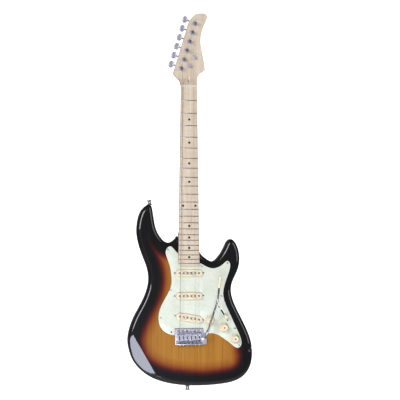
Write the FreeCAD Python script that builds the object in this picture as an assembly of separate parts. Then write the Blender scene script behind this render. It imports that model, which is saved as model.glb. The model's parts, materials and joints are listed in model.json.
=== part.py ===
"""Electric guitar: double-cutaway solid body, bolt-on maple neck, three single-coil pickups, vibrato bridge.

Frame, in millimetres: the origin is on the centre line at the nut, +Z runs up the neck to the headstock,
the front faces -Y and +X is the treble side. The body's front face lies in the plane y = 0.
"""
import FreeCAD, Part
import math
import os

from FreeCAD import Vector

# ---------------------------------------------------------------- driving dimensions
SCALE_LENGTH = 648.0
FRET_COUNT = 22
STRING_COUNT = 6

NUT_WIDTH = 42.0
NECK_END_WIDTH = 56.0
FRETBOARD_RADIUS = 241.3
FRETBOARD_OVER_BODY = 9.5
NECK_BACK_AT_NUT = 11.4
NECK_BACK_AT_HEEL = 13.4
FRETBOARD_PAST_LAST_FRET = 6.8
FRETBOARD_OVERHANG = 9.0
OVERHANG_GAP = 1.0
HEEL_DEPTH = 15.9
HEEL_LENGTH = 74.0
POCKET_WALL = 30.0

HEADSTOCK_THICKNESS = 14.3
SCOOP_LENGTH = 24.0
NUT_THICKNESS = 3.6
NUT_HEIGHT = 2.9
NUT_SLOT_DEPTH = 2.0

FRET_WIDTH = 2.4
FRET_HEIGHT = 1.1
TANG_WIDTH = 0.6
TANG_DEPTH = 1.6
DOT_RADIUS = 3.0
DOT_DEPTH = 1.4
DOUBLE_DOT_X = 16.5
SIDE_DOT_RADIUS = 1.0

TRUSS_ROD_RADIUS = 2.5
TRUSS_ROD_Y = 2.0
STRIPE_WIDTH = 6.2
STRIPE_DEPTH = 6.0

BODY_THICKNESS = 44.5
BODY_ROUND = 5.0
FOREARM_CREASE = ((-153.0, -180.0), (-83.0, -302.0))
FOREARM_SINK = 8.5
FOREARM_REACH = 30.0
BELLY_CREASE = ((-125.0, 119.0), (-66.0, 4.0), (-125.0, -111.0))
BELLY_SINK = 14.0
BELLY_REACH = 40.0
PICKUP_CAVITY_DEPTH = 19.0
CONTROL_CAVITY_DEPTH = 34.0
SPRING_CAVITY_DEPTH = 16.5
SPRING_CAVITY_WIDTH = 68.0
SPRING_CAVITY_LENGTH = 146.0

PICKGUARD_THICKNESS = 2.3
NECK_GAP = 0.3
CONTROL_GAP = 0.4
RUNNING_GAP = 0.06

TUNER_PITCH = 25.2
TUNER_TILT = 17.0
FIRST_POST = (16.1, 168.9)
POST_RADIUS = 3.1
POST_HEIGHT = 16.5
TUNER_BUSH_RADIUS = 4.9
TUNER_SHAFT_Y = 20.0
WORM_OFFSET = 7.0
WHEEL_RADIUS = 4.7
WORM_RADIUS = 2.0
WORM_TEETH = 15
TUNER_SHAFT_RADIUS = 1.9
BUTTON_REACH = 27.0

PICKUP_X = 0.7
NECK_PICKUP_BELOW_HEEL = 27.7
MIDDLE_PICKUP_SHARE = 0.51
BRIDGE_PICKUP_OVER_BRIDGE = 38.4
BRIDGE_PICKUP_SLANT = 9.6
COVER_LENGTH = 69.0
COVER_WIDTH = 18.0
COVER_WALL = 1.2
COVER_TOP = 8.3
POLE_RADIUS = 2.45
POLE_SPAN = 51.0
PICKUP_SCREW_SPACING = 76.0
BOBBIN_LENGTH = 84.0
BOBBIN_Y = 8.0

KNOBS = (("volume", 56.2, -152.3), ("tone_1", 93.2, -171.7), ("tone_2", 122.5, -201.5))
KNOB_RADIUS = 12.8
KNOB_TOP_RADIUS = 8.6
KNOB_HEIGHT = 17.0
KNOB_GAP = 0.9
SHAFT_RADIUS = 3.0
POT_RADIUS = 12.0
POT_Y = 4.0
BUSHING_RADIUS = 4.75
PANEL_NUT_AF = 12.0
PANEL_NUT_THICKNESS = 2.4

SWITCH_CENTRE = (92.4, -134.5)
SWITCH_SCREW_SPACING = 41.3
SWITCH_TILT = 57.0
SWITCH_SWING = 18.0
SWITCH_PIVOT_Y = 14.0
LEVER_WIDTH = 5.0
LEVER_THICKNESS = 1.8

BRIDGE_PLATE_GAP = 2.4
BRIDGE_PLATE_THICKNESS = 2.0
BRIDGE_LEFT = -36.0
BRIDGE_RIGHT = 38.0
BRIDGE_EAR = 47.6
BRIDGE_FRONT = 11.0
BRIDGE_LENGTH = 42.0
PIVOT_OFFSET = 4.0
SADDLE_PITCH = 10.5
SADDLE_WIDTH = 10.2
SADDLE_LENGTH = 17.0
SADDLE_TOP = 13.7
BLOCK_DEPTH = 40.0
BLOCK_THICKNESS = 12.0
BLOCK_WIDTH = 66.0
BLOCK_SWING_GAP = 4.0
BLOCK_OFFSET = 10.0
LIP_HEIGHT = 9.5
ARM_RADIUS = 2.5
ARM_SOCKET = (41.0, -13.0)
EAR_OVER_SOCKET = 11.0
COMPENSATION = (5.0, 3.4, 2.2, 3.6, 2.2, 0.8)
STRING_RADII = (0.53, 0.41, 0.32, 0.21, 0.165, 0.125)
STRINGS_AT_NUT = 35.0
STRING_OVER_NUT = 1.8

SPRING_XS = (-20.0, 0.0, 20.0)
SPRING_Y_FROM_BLOCK = 4.0
CLAW_SCREW_XS = (-25.5, 25.5)

TREES = ((14.0, 77.9, 5.0, (4, 5)), (0.7, 55.7, 5.4, (2, 3)))
TREE_HEIGHT = 5.4
TREE_GAP = 0.55

JACK_BELOW_HEEL = 226.0
JACK_Y = 22.0
JACK_FACE_X = 169.4
JACK_BORE_RADIUS = 3.2

# ---------------------------------------------------------------- places worked out from them
TOP = -FRETBOARD_OVER_BODY


def fret_z(number):
    """Height of a fret on the scale, which starts at the nut."""
    return -SCALE_LENGTH * (1.0 - 2.0 ** (-number / 12.0))


FRETBOARD_END = fret_z(FRET_COUNT) - FRETBOARD_PAST_LAST_FRET
HEEL_END = FRETBOARD_END + FRETBOARD_OVERHANG
HEEL_TOP = HEEL_END + HEEL_LENGTH
BRIDGE_Z = -SCALE_LENGTH
PLATE_FRONT_Z = BRIDGE_Z + BRIDGE_FRONT
PLATE_REAR_Z = PLATE_FRONT_Z - BRIDGE_LENGTH
PIVOT_Z = BRIDGE_Z + PIVOT_OFFSET
BLOCK_Z = BRIDGE_Z - BLOCK_OFFSET
PLATE_BACK_Y = -BRIDGE_PLATE_GAP
PLATE_FRONT_Y = PLATE_BACK_Y - BRIDGE_PLATE_THICKNESS
GUARD_Y = -PICKGUARD_THICKNESS
JACK_Z = HEEL_END - JACK_BELOW_HEEL
NECK_PICKUP_Z = HEEL_END - NECK_PICKUP_BELOW_HEEL
BRIDGE_PICKUP_Z = BRIDGE_Z + BRIDGE_PICKUP_OVER_BRIDGE
MIDDLE_PICKUP_Z = NECK_PICKUP_Z + MIDDLE_PICKUP_SHARE * (BRIDGE_PICKUP_Z - NECK_PICKUP_Z)
PICKUPS = ((NECK_PICKUP_Z, 0.0), (MIDDLE_PICKUP_Z, 0.0), (BRIDGE_PICKUP_Z, BRIDGE_PICKUP_SLANT))
SADDLE_XS = [(i - (STRING_COUNT - 1) / 2.0) * SADDLE_PITCH + 0.7 for i in range(STRING_COUNT)]
NUT_XS = [(i / (STRING_COUNT - 1.0) - 0.5) * STRINGS_AT_NUT for i in range(STRING_COUNT)]
FAR = 400.0

# ---------------------------------------------------------------- outlines, (x, z) points from the heel's end
# Knobs, selector, creases and the outlines below all count z from the heel's end; only the headstock's
# outline counts from the nut. Body, from the bass corner of the heel round to the neck's treble side.
BODY_OUTLINE = (
    (-31.0, 67.0), (-41.0, 56.5), (-52.0, 52.5), (-62.5, 55.5), (-71.5, 64.0), (-79.0, 74.5),
    (-86.0, 90.0), (-90.5, 110.0), (-93.6, 130.0), (-95.8, 143.0), (-99.3, 151.0), (-105.0, 153.4),
    (-112.4, 149.6), (-124.0, 137.5), (-133.3, 114.0), (-137.4, 82.0), (-134.0, 56.0), (-124.5, 24.5),
    (-111.0, -10.0), (-105.2, -40.0), (-109.4, -71.0), (-124.7, -109.0), (-142.9, -143.0), (-156.2, -180.0),
    (-159.2, -205.0), (-155.5, -229.0), (-145.0, -257.0), (-122.0, -284.5), (-86.0, -306.5), (-40.0, -319.5),
    (25.0, -325.0),
    (84.0, -322.2), (125.0, -314.4), (152.2, -298.2), (167.5, -273.6), (172.3, -243.0), (169.5, -212.0),
    (158.5, -180.0), (140.5, -143.0), (123.5, -108.0), (115.5, -80.0), (118.0, -54.0), (128.0, -32.0),
    (136.5, -8.0), (137.5, 22.0), (131.0, 45.0), (123.0, 57.5), (115.0, 62.0), (107.5, 58.0),
    (99.5, 44.0), (91.5, 28.0), (80.0, 12.5), (66.0, 2.5), (51.0, 8.0), (38.5, 17.5), (31.0, 27.0),
)
# Headstock: up the treble side to its lower corner, on over the top to the tuners' edge, and the bass corner.
HEADSTOCK_TREBLE = ((21.2, 0.0), (21.6, 14.0), (24.0, 27.0), (30.0, 36.0), (37.5, 41.5), (43.2, 45.5))
HEADSTOCK_TOP = (
    (43.6, 49.0), (41.4, 66.0), (37.4, 87.0), (33.2, 108.0), (31.6, 122.0), (33.2, 140.0), (38.0, 158.0),
    (45.5, 175.0), (49.2, 184.0), (48.4, 192.5), (42.5, 197.2), (31.0, 197.6), (19.5, 195.8), (10.4, 188.6),
    (3.2, 178.5), (-1.6, 167.0), (-3.6, 159.0),
)
HEADSTOCK_BASS = (
    (-39.6, 41.0), (-40.2, 37.0), (-36.2, 29.8), (-29.4, 23.5), (-23.6, 15.5), (-21.4, 6.0), (-21.2, 0.0),
)
# Pickguard: its bass side down to the bridge, then its treble side up from the bridge.
GUARD_BASS = (
    (-37.0, 32.5), (-50.0, 43.0), (-60.0, 34.0), (-58.6, 15.0), (-50.7, -8.0), (-46.2, -34.0), (-46.4, -58.0),
    (-54.8, -80.0), (-67.7, -103.0), (-77.0, -124.0), (-80.0, -146.0), (-75.6, -166.5), (-62.0, -182.0),
)
GUARD_TREBLE = (
    (66.6, -187.0), (94.4, -201.0), (118.0, -219.0), (132.0, -225.8), (140.0, -219.0), (140.6, -206.0),
    (132.0, -183.0), (113.4, -143.0), (99.0, -111.0), (92.2, -87.0), (95.0, -62.0), (105.0, -32.0),
    (110.3, -14.0), (109.2, -0.5), (104.2, 4.0), (96.5, 0.0), (80.0, -12.0), (63.6, -15.3), (47.0, -10.5),
)
GUARD_BRIDGE_GAP = 1.0
GUARD_SCREWS = (
    (-55.4, 34.5), (34.4, -10.3), (104.2, -2.0), (87.4, -89.3), (123.2, -173.8), (133.9, -219.0),
    (48.0, -181.2), (-45.5, -182.5), (-74.3, -144.8), (-48.5, -71.7),
)
# Control cavity, round the three potentiometers and the selector switch.
CONTROL_CAVITY = (
    (43.5, -146.0), (56.0, -137.0), (70.0, -119.0), (86.0, -107.0), (112.0, -150.0), (134.0, -194.0),
    (138.0, -205.0), (123.0, -219.5), (109.0, -215.0), (88.0, -186.0), (56.0, -167.0), (43.5, -160.0),
)

NODES = {}


# ---------------------------------------------------------------- shape helpers
def node(name, *solids):
    """Names a sub-part made of one or more separate solids."""
    NODES[name] = Part.makeCompound(list(solids)) if len(solids) > 1 else solids[0]


def flat(points, z0=0.0):
    """Points in the plane y = 0, with their heights counted from z0."""
    return [Vector(x, 0.0, z + z0) for x, z in points]


def smooth(points):
    """A smooth open edge through the points."""
    curve = Part.BSplineCurve()
    curve.interpolate(points)
    return curve.toShape()


def straight(points):
    """Straight edges through the points."""
    return Part.makePolygon(points).Edges


def prism(edges, y0, y1):
    """The closed outline of these edges, drawn in the plane y = 0, between two depths."""
    face = Part.Face(Part.Wire(edges))
    face.translate(Vector(0.0, y0, 0.0))
    return face.extrude(Vector(0.0, y1 - y0, 0.0))


def box(x0, x1, y0, y1, z0, z1):
    """A block between two corners."""
    return Part.makeBox(x1 - x0, y1 - y0, z1 - z0, Vector(x0, y0, z0))


def rod(radius, start, end):
    """A round bar from one point to another."""
    return Part.makeCylinder(radius, end.sub(start).Length, start, end.sub(start))


def rod_y(radius, x, z, y0, y1):
    """A round bar across the guitar's thickness."""
    return rod(radius, Vector(x, y0, z), Vector(x, y1, z))


def turned(profile, x=0.0, z=0.0):
    """A turned solid about the Y axis through (x, z); the profile is a ring of (radius, y) points."""
    points = [Vector(r, y, 0.0) for r, y in profile]
    solid = Part.Face(Part.makePolygon(points + points[:1])).revolve(Vector(), Vector(0, 1, 0), 360)
    solid.translate(Vector(x, 0.0, z))
    return solid


def stadium(length, width, y0, y1):
    """A bar with rounded ends, along X and centred on the origin."""
    reach = (length - width) / 2.0
    radius = width / 2.0
    edges = []
    for side in (1, -1):
        corners = [Vector(side * reach, 0, side * radius), Vector(side * reach, 0, -side * radius)]
        edges.append(Part.LineSegment(Vector(-side * reach, 0, side * radius), corners[0]).toShape())
        edges.append(Part.Arc(corners[0], Vector(side * (reach + radius), 0, 0), corners[1]).toShape())
    return prism(edges, y0, y1)


def placed(shape, tilt, x, z):
    """A copy turned about the Y axis and moved to (x, z)."""
    copy = shape.copy()
    copy.rotate(Vector(), Vector(0, 1, 0), tilt)
    copy.translate(Vector(x, 0.0, z))
    return copy


def bar(points, radius):
    """A round bar along a run of points, mitred at each bend."""
    start = Part.Circle(points[0], points[1].sub(points[0]), radius).toShape()
    return Part.makePolygon(points).makePipeShell([Part.Wire([start])], True, False, 1)


def front_screw(x, z, y, length, shank, head, rise):
    """A domed screw driven in from the front, with its head seated at depth y."""
    return turned([(0, y - rise), (head * 0.6, y - rise * 0.8), (head, y), (shank, y), (shank, y + length),
                   (0, y + length)], x, z)


def back_screw(x, z, y, length, shank, head, rise):
    """The same screw driven in from the back."""
    return turned([(0, y + rise), (head * 0.6, y + rise * 0.8), (head, y), (shank, y), (shank, y - length),
                   (0, y - length)], x, z)


def hexagon(across_flats, hole, y0, y1, x, z):
    """A hexagon nut with its hole along Y."""
    reach = across_flats / math.sqrt(3.0)
    corners = [Vector(reach * math.cos(math.radians(60 * k)), 0, reach * math.sin(math.radians(60 * k)))
               for k in range(7)]
    nut = prism(straight(corners), y0, y1)
    nut.translate(Vector(x, 0, z))
    return nut.cut(rod_y(hole, x, z, y0 - 1, y1 + 1))


def rounded_block(x0, x1, y0, y1, z0, z1, radius):
    """A plate with its four corners rounded, seen from the front."""
    plate = box(x0, x1, y0, y1, z0, z1)
    corners = [edge for edge in plate.Edges if abs(edge.tangentAt(edge.FirstParameter).y) > 0.9]
    return plate.makeFillet(radius, corners)


# ---------------------------------------------------------------- neck
def neck_width(z):
    """Width of the neck at a height, from the nut down to the fretboard's end."""
    return NUT_WIDTH + (NECK_END_WIDTH - NUT_WIDTH) * z / FRETBOARD_END


def fretboard_y(x):
    """Depth of the curved fretboard surface at x."""
    return TOP + FRETBOARD_RADIUS - math.sqrt(FRETBOARD_RADIUS ** 2 - x * x)


def fretboard_round():
    """The large cylinder whose surface is the fretboard's playing surface."""
    centre_y = TOP + FRETBOARD_RADIUS
    return rod(FRETBOARD_RADIUS, Vector(0, centre_y, FRETBOARD_END - 10), Vector(0, centre_y, FAR))


def neck_section(z, back):
    """Closed C-shaped section of the neck shaft at a height."""
    half = neck_width(z) / 2.0
    side = TOP + 5.0
    curve = Part.BSplineCurve()
    ring = [(half, side), (half * 0.86, (side + back) / 2.0 + 1.2), (half * 0.5, back - 2.0), (0.0, back)]
    ring += [(-x, y) for x, y in reversed(ring[:-1])]
    curve.interpolate(Points=[Vector(x, y, z) for x, y in ring], InitialTangent=Vector(0, 1, 0),
                      FinalTangent=Vector(0, -1, 0))
    rim = [Vector(-half, side, z), Vector(-half, TOP - 1, z), Vector(half, TOP - 1, z), Vector(half, side, z)]
    return Part.Wire([curve.toShape()] + straight(rim))


def heel_outline(z0, z1):
    """Tapered outline of the neck between two heights."""
    corners = [(-neck_width(z0) / 2, z0), (neck_width(z0) / 2, z0), (neck_width(z1) / 2, z1),
               (-neck_width(z1) / 2, z1), (-neck_width(z0) / 2, z0)]
    return straight(flat(corners))


def headstock():
    """Flat headstock: its front outline, cut by the scooped side profile."""
    treble = smooth(flat(HEADSTOCK_TREBLE))
    over = smooth(flat(HEADSTOCK_TOP))
    bass = smooth(flat(HEADSTOCK_BASS))
    joins = [(HEADSTOCK_TREBLE[-1], HEADSTOCK_TOP[0]), (HEADSTOCK_TOP[-1], HEADSTOCK_BASS[0]),
             (HEADSTOCK_BASS[-1], HEADSTOCK_TREBLE[0])]
    edges = [treble, over, bass] + [straight(flat(pair))[0] for pair in joins]
    blank = prism(Part.__sortEdges__(edges), TOP, HEADSTOCK_THICKNESS)
    z_nut = NUT_THICKNESS
    scoop_end = z_nut + SCOOP_LENGTH
    scoop = [Vector(0, TOP, z_nut + 2), Vector(0, TOP * 0.55, z_nut + SCOOP_LENGTH * 0.42),
             Vector(0, 0, scoop_end)]
    back = [Vector(0, HEADSTOCK_THICKNESS, scoop_end + 8), Vector(0, NECK_BACK_AT_NUT, 12), Vector(0, 6, 0)]
    curve = Part.BSplineCurve()
    curve.interpolate(Points=scoop, InitialTangent=Vector(0, 0.4, 1), FinalTangent=Vector(0, 0, 1))
    edges = [curve.toShape()]
    edges += straight([scoop[-1], Vector(0, 0, FAR), Vector(0, HEADSTOCK_THICKNESS, FAR), back[0]])
    edges += [smooth(back)]
    edges += straight([back[-1], Vector(0, TOP, 0), scoop[0]])
    side = Part.Face(Part.Wire(Part.__sortEdges__(edges)))
    side.translate(Vector(-FAR / 2, 0, 0))
    return blank.common(side.extrude(Vector(FAR, 0, 0)))


def neck_blank():
    """One-piece neck and fretboard before its slots and holes."""
    back_slope = (NECK_BACK_AT_HEEL - NECK_BACK_AT_NUT) / HEEL_TOP
    ends = (NUT_THICKNESS + 2.0, HEEL_TOP)
    shaft = Part.makeLoft([neck_section(z, NECK_BACK_AT_NUT + back_slope * z) for z in ends], True, True)
    heel = prism(heel_outline(HEEL_TOP + 5, HEEL_END), TOP - 1, HEEL_DEPTH)
    overhang_back = -PICKGUARD_THICKNESS - OVERHANG_GAP
    overhang = prism(heel_outline(HEEL_END, FRETBOARD_END), TOP - 1, overhang_back)
    corners = [e for e in overhang.Edges if abs(e.tangentAt(e.FirstParameter).y) > 0.9
               and e.CenterOfMass.z < FRETBOARD_END + 1]
    overhang = overhang.makeFillet(5.0, corners)
    blank = shaft.fuse([heel, overhang]).common(fretboard_round())
    return blank.fuse(headstock()).removeSplitter()


def fret(number):
    """One fret: a crown bent to the fretboard's radius, on a tang."""
    z = fret_z(number)
    centre_y = TOP + FRETBOARD_RADIUS
    half_angle = math.degrees(math.asin((neck_width(z) / 2 - 0.2) / FRETBOARD_RADIUS))
    flank = TOP - FRET_HEIGHT * 0.75
    crown = [(TOP, z - FRET_WIDTH / 2), (flank, z - FRET_WIDTH * 0.33), (TOP - FRET_HEIGHT, z),
             (flank, z + FRET_WIDTH * 0.33), (TOP, z + FRET_WIDTH / 2), (TOP, z + TANG_WIDTH / 2),
             (TOP + TANG_DEPTH, z + TANG_WIDTH / 2), (TOP + TANG_DEPTH, z - TANG_WIDTH / 2),
             (TOP, z - TANG_WIDTH / 2)]
    ring = [Vector(0, y, height) for y, height in crown]
    face = Part.Face(Part.makePolygon(ring + ring[:1]))
    face.rotate(Vector(0, centre_y, 0), Vector(0, 0, 1), -half_angle)
    return face.revolve(Vector(0, centre_y, 0), Vector(0, 0, 1), 2 * half_angle)


def position_dots():
    """Round bars for the inlays in the fretboard and the small ones along its bass edge."""
    dots = []
    middle = [(fret_z(n) + fret_z(n - 1)) / 2.0 for n in range(1, FRET_COUNT + 1)]
    for number in (3, 5, 7, 9, 12, 15, 17, 19, 21):
        z = middle[number - 1]
        for x in ((-DOUBLE_DOT_X, DOUBLE_DOT_X) if number == 12 else (0.0,)):
            back = fretboard_y(x) + DOT_DEPTH
            dots.append(turned([(0, TOP - 1), (DOT_RADIUS, TOP - 1), (DOT_RADIUS, back), (0, back)], x, z))
        for shift in ((-3.0, 3.0) if number == 12 else (0.0,)):
            edge = -neck_width(z) / 2.0
            dots.append(rod(SIDE_DOT_RADIUS, Vector(edge - 1.0, TOP + 2.6, z + shift),
                            Vector(edge + 2.0, TOP + 2.6, z + shift)))
    return dots


def make_nut():
    """The nut, in a slot across the fretboard's upper end, with a groove for each string."""
    half = NUT_WIDTH / 2.0
    nut = box(-half, half, TOP - NUT_HEIGHT - 1, TOP + NUT_SLOT_DEPTH, 0, NUT_THICKNESS)
    y = TOP + FRETBOARD_RADIUS
    crown = rod(FRETBOARD_RADIUS + NUT_HEIGHT, Vector(0, y, -1), Vector(0, y, NUT_THICKNESS + 1))
    nut = nut.common(crown)
    for x, radius in zip(NUT_XS, STRING_RADII):
        y = fretboard_y(x) - STRING_OVER_NUT
        nut = nut.cut(rod(radius, Vector(x, y, -1), Vector(x, y, NUT_THICKNESS + 1)))
        nut = nut.cut(box(x - radius, x + radius, y - 4, y, -1, NUT_THICKNESS + 1))
    return nut


def make_neck():
    """Neck with its nut slot, fret slots, inlays, truss rod and the filler strip over the rod."""
    blank = neck_blank()
    rod_top = NUT_THICKNESS + 10.0
    rod_end = HEEL_END + 8.0
    truss = rod(TRUSS_ROD_RADIUS, Vector(0, TRUSS_ROD_Y, rod_top), Vector(0, TRUSS_ROD_Y, rod_end))
    access = rod(TRUSS_ROD_RADIUS + 1.6, Vector(0, TRUSS_ROD_Y - 4.0, rod_top - 4),
                 Vector(0, TRUSS_ROD_Y - 4.0, NUT_THICKNESS + SCOOP_LENGTH + 3))
    half = STRIPE_WIDTH / 2.0
    channel = box(-half, half, TRUSS_ROD_Y + TRUSS_ROD_RADIUS, FAR, HEEL_TOP + 12, -22)
    rims = [e for e in channel.Edges if abs(e.tangentAt(e.FirstParameter).y) > 0.9]
    channel = channel.makeFillet(half - 0.05, rims)
    frets = [fret(n) for n in range(1, FRET_COUNT + 1)]
    dots = position_dots()
    nut = make_nut()
    slot = box(-FAR, FAR, TOP - 5, TOP + NUT_SLOT_DEPTH, 0, NUT_THICKNESS)
    node("neck_filler_strip", blank.common(channel))
    node("neck", blank.cut([channel, truss, access, slot] + frets + dots))
    node("truss_rod", truss.cut(access))
    node("frets", *frets)
    node("position_dots", *[dot.common(blank) for dot in dots])
    node("nut", nut)


# ---------------------------------------------------------------- tuners
def post_place(index):
    """Centre of a string post on the headstock; 0 is the lowest string, nearest the nut."""
    steps = (STRING_COUNT - 1 - index) * TUNER_PITCH
    angle = math.radians(TUNER_TILT)
    return FIRST_POST[0] - steps * math.sin(angle), FIRST_POST[1] - steps * math.cos(angle)


def toothed_wheel():
    """The worm wheel on a post, drawn on the post's own axis."""
    points = []
    for k in range(WORM_TEETH * 4):
        angle = 2 * math.pi * k / (WORM_TEETH * 4)
        radius = WHEEL_RADIUS if k % 4 in (0, 1) else WHEEL_RADIUS - 0.7
        points.append(Vector(radius * math.cos(angle), 0, radius * math.sin(angle)))
    return prism(straight(points + points[:1]), TUNER_SHAFT_Y - 2.6, TUNER_SHAFT_Y + 2.6)


def tuner_post():
    """String post with its waist, slot and worm wheel."""
    waist = POST_RADIUS - 0.6
    tip = -POST_HEIGHT
    post = turned([(0, tip), (POST_RADIUS - 0.4, tip), (POST_RADIUS, tip + 0.5), (POST_RADIUS, tip + 3.5),
                   (waist, tip + 4.5), (waist, -6.2), (POST_RADIUS, -5.2), (POST_RADIUS, TUNER_SHAFT_Y + 3.4),
                   (0, TUNER_SHAFT_Y + 3.4)])
    slot = box(-0.6, 0.6, tip - 1, tip + 5.5, -10, 10)
    return post.cut(slot).fuse(toothed_wheel())


def tuner_button():
    """Oval button on its shaft, with the worm that drives the wheel; the shaft runs towards -X."""
    shaft_z = WORM_OFFSET
    y = TUNER_SHAFT_Y
    shaft = rod(TUNER_SHAFT_RADIUS, Vector(6.6, y, shaft_z), Vector(-BUTTON_REACH + 4, y, shaft_z))
    worm = rod(WORM_RADIUS, Vector(5.0, y, shaft_z), Vector(-5.0, y, shaft_z))
    collar = rod(3.4, Vector(-9.2, y, shaft_z), Vector(-BUTTON_REACH + 6, y, shaft_z))
    oval = Part.Ellipse(Vector(), 9.5, 6.6).toShape()
    oval.rotate(Vector(), Vector(0, 0, 1), 90)
    oval.rotate(Vector(), Vector(1, 0, 0), 90)
    button = prism([oval], y - 3.0, y + 3.0)
    button = button.makeFillet(2.2, [e for e in button.Edges if e.Length > 20])
    button.translate(Vector(-BUTTON_REACH, 0, shaft_z))
    return shaft.fuse([worm, collar, button]).removeSplitter()


def tuner_housing():
    """Cast gear housing behind the headstock, open inside for the wheel and the worm."""
    back = HEADSTOCK_THICKNESS
    shell = rounded_block(-8.6, 8.0, back, back + 11.0, -7.6, 11.4, 2.2)
    lug = rounded_block(-3.2, 3.2, back, back + 2.5, -12.0, -4.0, 2.0)
    wheel_room = rod_y(WHEEL_RADIUS + 0.4, 0, 0, TUNER_SHAFT_Y - 3.0, TUNER_SHAFT_Y + 3.7)
    places = [Vector(x, TUNER_SHAFT_Y, WORM_OFFSET) for x in (7.0, 5.4, -5.4, -12)]
    worm_room = rod(WORM_RADIUS + 0.3, places[1], places[2])
    bore = rod(TUNER_SHAFT_RADIUS + RUNNING_GAP, places[0], places[3])
    post_bore = rod_y(POST_RADIUS + RUNNING_GAP, 0, 0, back - 1, TUNER_SHAFT_Y)
    return shell.fuse(lug).cut([wheel_room, worm_room, bore, post_bore])


def tuner_bushing():
    """Threaded bushing with a round washer and hexagon head on the headstock's face."""
    bore = POST_RADIUS + RUNNING_GAP
    sleeve = turned([(bore, 0), (TUNER_BUSH_RADIUS, 0), (TUNER_BUSH_RADIUS, 9), (bore, 9)])
    washer = turned([(bore, -1.1), (6.6, -1.1), (7.0, -0.6), (7.0, 0), (bore, 0)])
    return sleeve.fuse([washer, hexagon(10.0, bore, -3.6, -1.1, 0, 0)]).removeSplitter()


def make_tuners():
    """Six geared tuners in line on the bass edge of the headstock."""
    button = tuner_button()
    post = tuner_post()
    housing = tuner_housing()
    bushing = tuner_bushing()
    lug_screw = back_screw(0, -9.6, HEADSTOCK_THICKNESS + 2.5, 9.0, 1.1, 2.2, 1.2)
    housings, bushings, screws, holes = [], [], [], []
    hole = rod_y(TUNER_BUSH_RADIUS, 0, 0, -1, HEADSTOCK_THICKNESS + 1)
    for index in range(STRING_COUNT):
        x, z = post_place(index)
        number = index + 1
        node("tuner_button_%d" % number, placed(button, TUNER_TILT, x, z))
        node("string_post_%d" % number, placed(post, TUNER_TILT, x, z))
        screws.append(placed(lug_screw, TUNER_TILT, x, z))
        housings.append(placed(housing, TUNER_TILT, x, z).cut(screws[-1]))
        bushings.append(placed(bushing, TUNER_TILT, x, z))
        holes.append(placed(hole, TUNER_TILT, x, z))
    node("tuner_housings", *housings)
    node("tuner_bushings", *bushings)
    return screws, holes


def string_tree(x, z, reach):
    """A winged clip on a post, which presses two strings down behind the nut, and its screw."""
    top = -TREE_HEIGHT - 1.2
    screw = front_screw(x, z, top, 16.0, 1.2, 2.6, 1.4)
    post = rod_y(2.2, x, z, -TREE_HEIGHT, 0)
    wing = box(x - reach, x + reach, top, -TREE_HEIGHT, z - 4, z + 4)
    return wing.fuse(post).cut(screw), screw


# ---------------------------------------------------------------- body
def body_blank():
    """Body slab with rounded edges, before its pockets are cut."""
    curve = smooth(flat(BODY_OUTLINE, HEEL_END))
    start = Vector(BODY_OUTLINE[0][0], 0, BODY_OUTLINE[0][1] + HEEL_END)
    end = Vector(BODY_OUTLINE[-1][0], 0, BODY_OUTLINE[-1][1] + HEEL_END)
    top = HEEL_TOP - 3.0
    heel = straight([end, Vector(end.x, 0, top), Vector(-end.x, 0, top), start])
    slab = prism([curve] + heel, 0, BODY_THICKNESS)
    rims = [e for e in slab.Edges if e.Length > 1000]
    return slab.makeFillet(BODY_ROUND, rims)


def forearm_bevel():
    """Block that bevels the front face towards the rim, beyond a straight crease across the lower bout."""
    start, end = flat(FOREARM_CREASE, HEEL_END)
    run = end.sub(start)
    outward = Vector(run.z, 0, -run.x).normalize()
    fall = outward * (3 * FOREARM_REACH) + Vector(0, 3 * FOREARM_SINK, 0)
    first = start.sub(run)
    last = end.add(run)
    face = Part.Face(Part.makePolygon([first, last, last.add(fall), first.add(fall), first]))
    return face.extrude(outward * FOREARM_SINK - Vector(0, FOREARM_REACH, 0))


def belly_hollow():
    """Very large ball that hollows the back towards the rim, beyond a shallow arc through three points.

    The middle point is the arc's furthest point in; the hollow is BELLY_SINK deep at BELLY_REACH from there.
    """
    start, middle, end = flat(BELLY_CREASE, HEEL_END)
    arc = Part.Arc(start, middle, end).toShape().Curve
    inner = arc.Radius - BELLY_REACH
    rise = (arc.Radius ** 2 - inner ** 2 - BELLY_SINK ** 2) / (2.0 * BELLY_SINK)
    centre = arc.Center.add(Vector(0, BODY_THICKNESS + rise, 0))
    return Part.makeSphere(math.hypot(arc.Radius, rise), centre)


def pocket():
    """Neck pocket and the room above the fretboard's overhang."""
    half_top = neck_width(HEEL_TOP) / 2 + NECK_GAP
    half_end = neck_width(HEEL_END) / 2 + NECK_GAP
    top = HEEL_TOP + 30
    wall = HEEL_END + POCKET_WALL
    corners = [(-half_top, top), (half_top + 30, top), (half_top + 30, wall), (half_end, wall),
               (half_end, HEEL_END - NECK_GAP), (-half_end, HEEL_END - NECK_GAP), (-half_top, HEEL_TOP),
               (-half_top, top)]
    return prism(straight(flat(corners)), -1, HEEL_DEPTH)


def spring_cavity():
    """Room for the vibrato block through the body, and for its springs at the back."""
    half = SPRING_CAVITY_WIDTH / 2
    back = BODY_THICKNESS - SPRING_CAVITY_DEPTH
    low = BLOCK_Z - BLOCK_THICKNESS / 2 - 14
    high = BLOCK_Z + BLOCK_THICKNESS / 2 + BLOCK_SWING_GAP
    well = box(-BLOCK_WIDTH / 2 - 2, BLOCK_WIDTH / 2 + 2, -1, BODY_THICKNESS + 1, low, high)
    springs = rounded_block(-half, half, back, BODY_THICKNESS + 1, low, low + SPRING_CAVITY_LENGTH, 8.0)
    x, z = ARM_SOCKET[0], BRIDGE_Z + ARM_SOCKET[1]
    socket_room = box(BLOCK_WIDTH / 2, x + 6.2, -1, 12.5, z - 12, z + 8.5)
    return [well, springs, socket_room]


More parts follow.
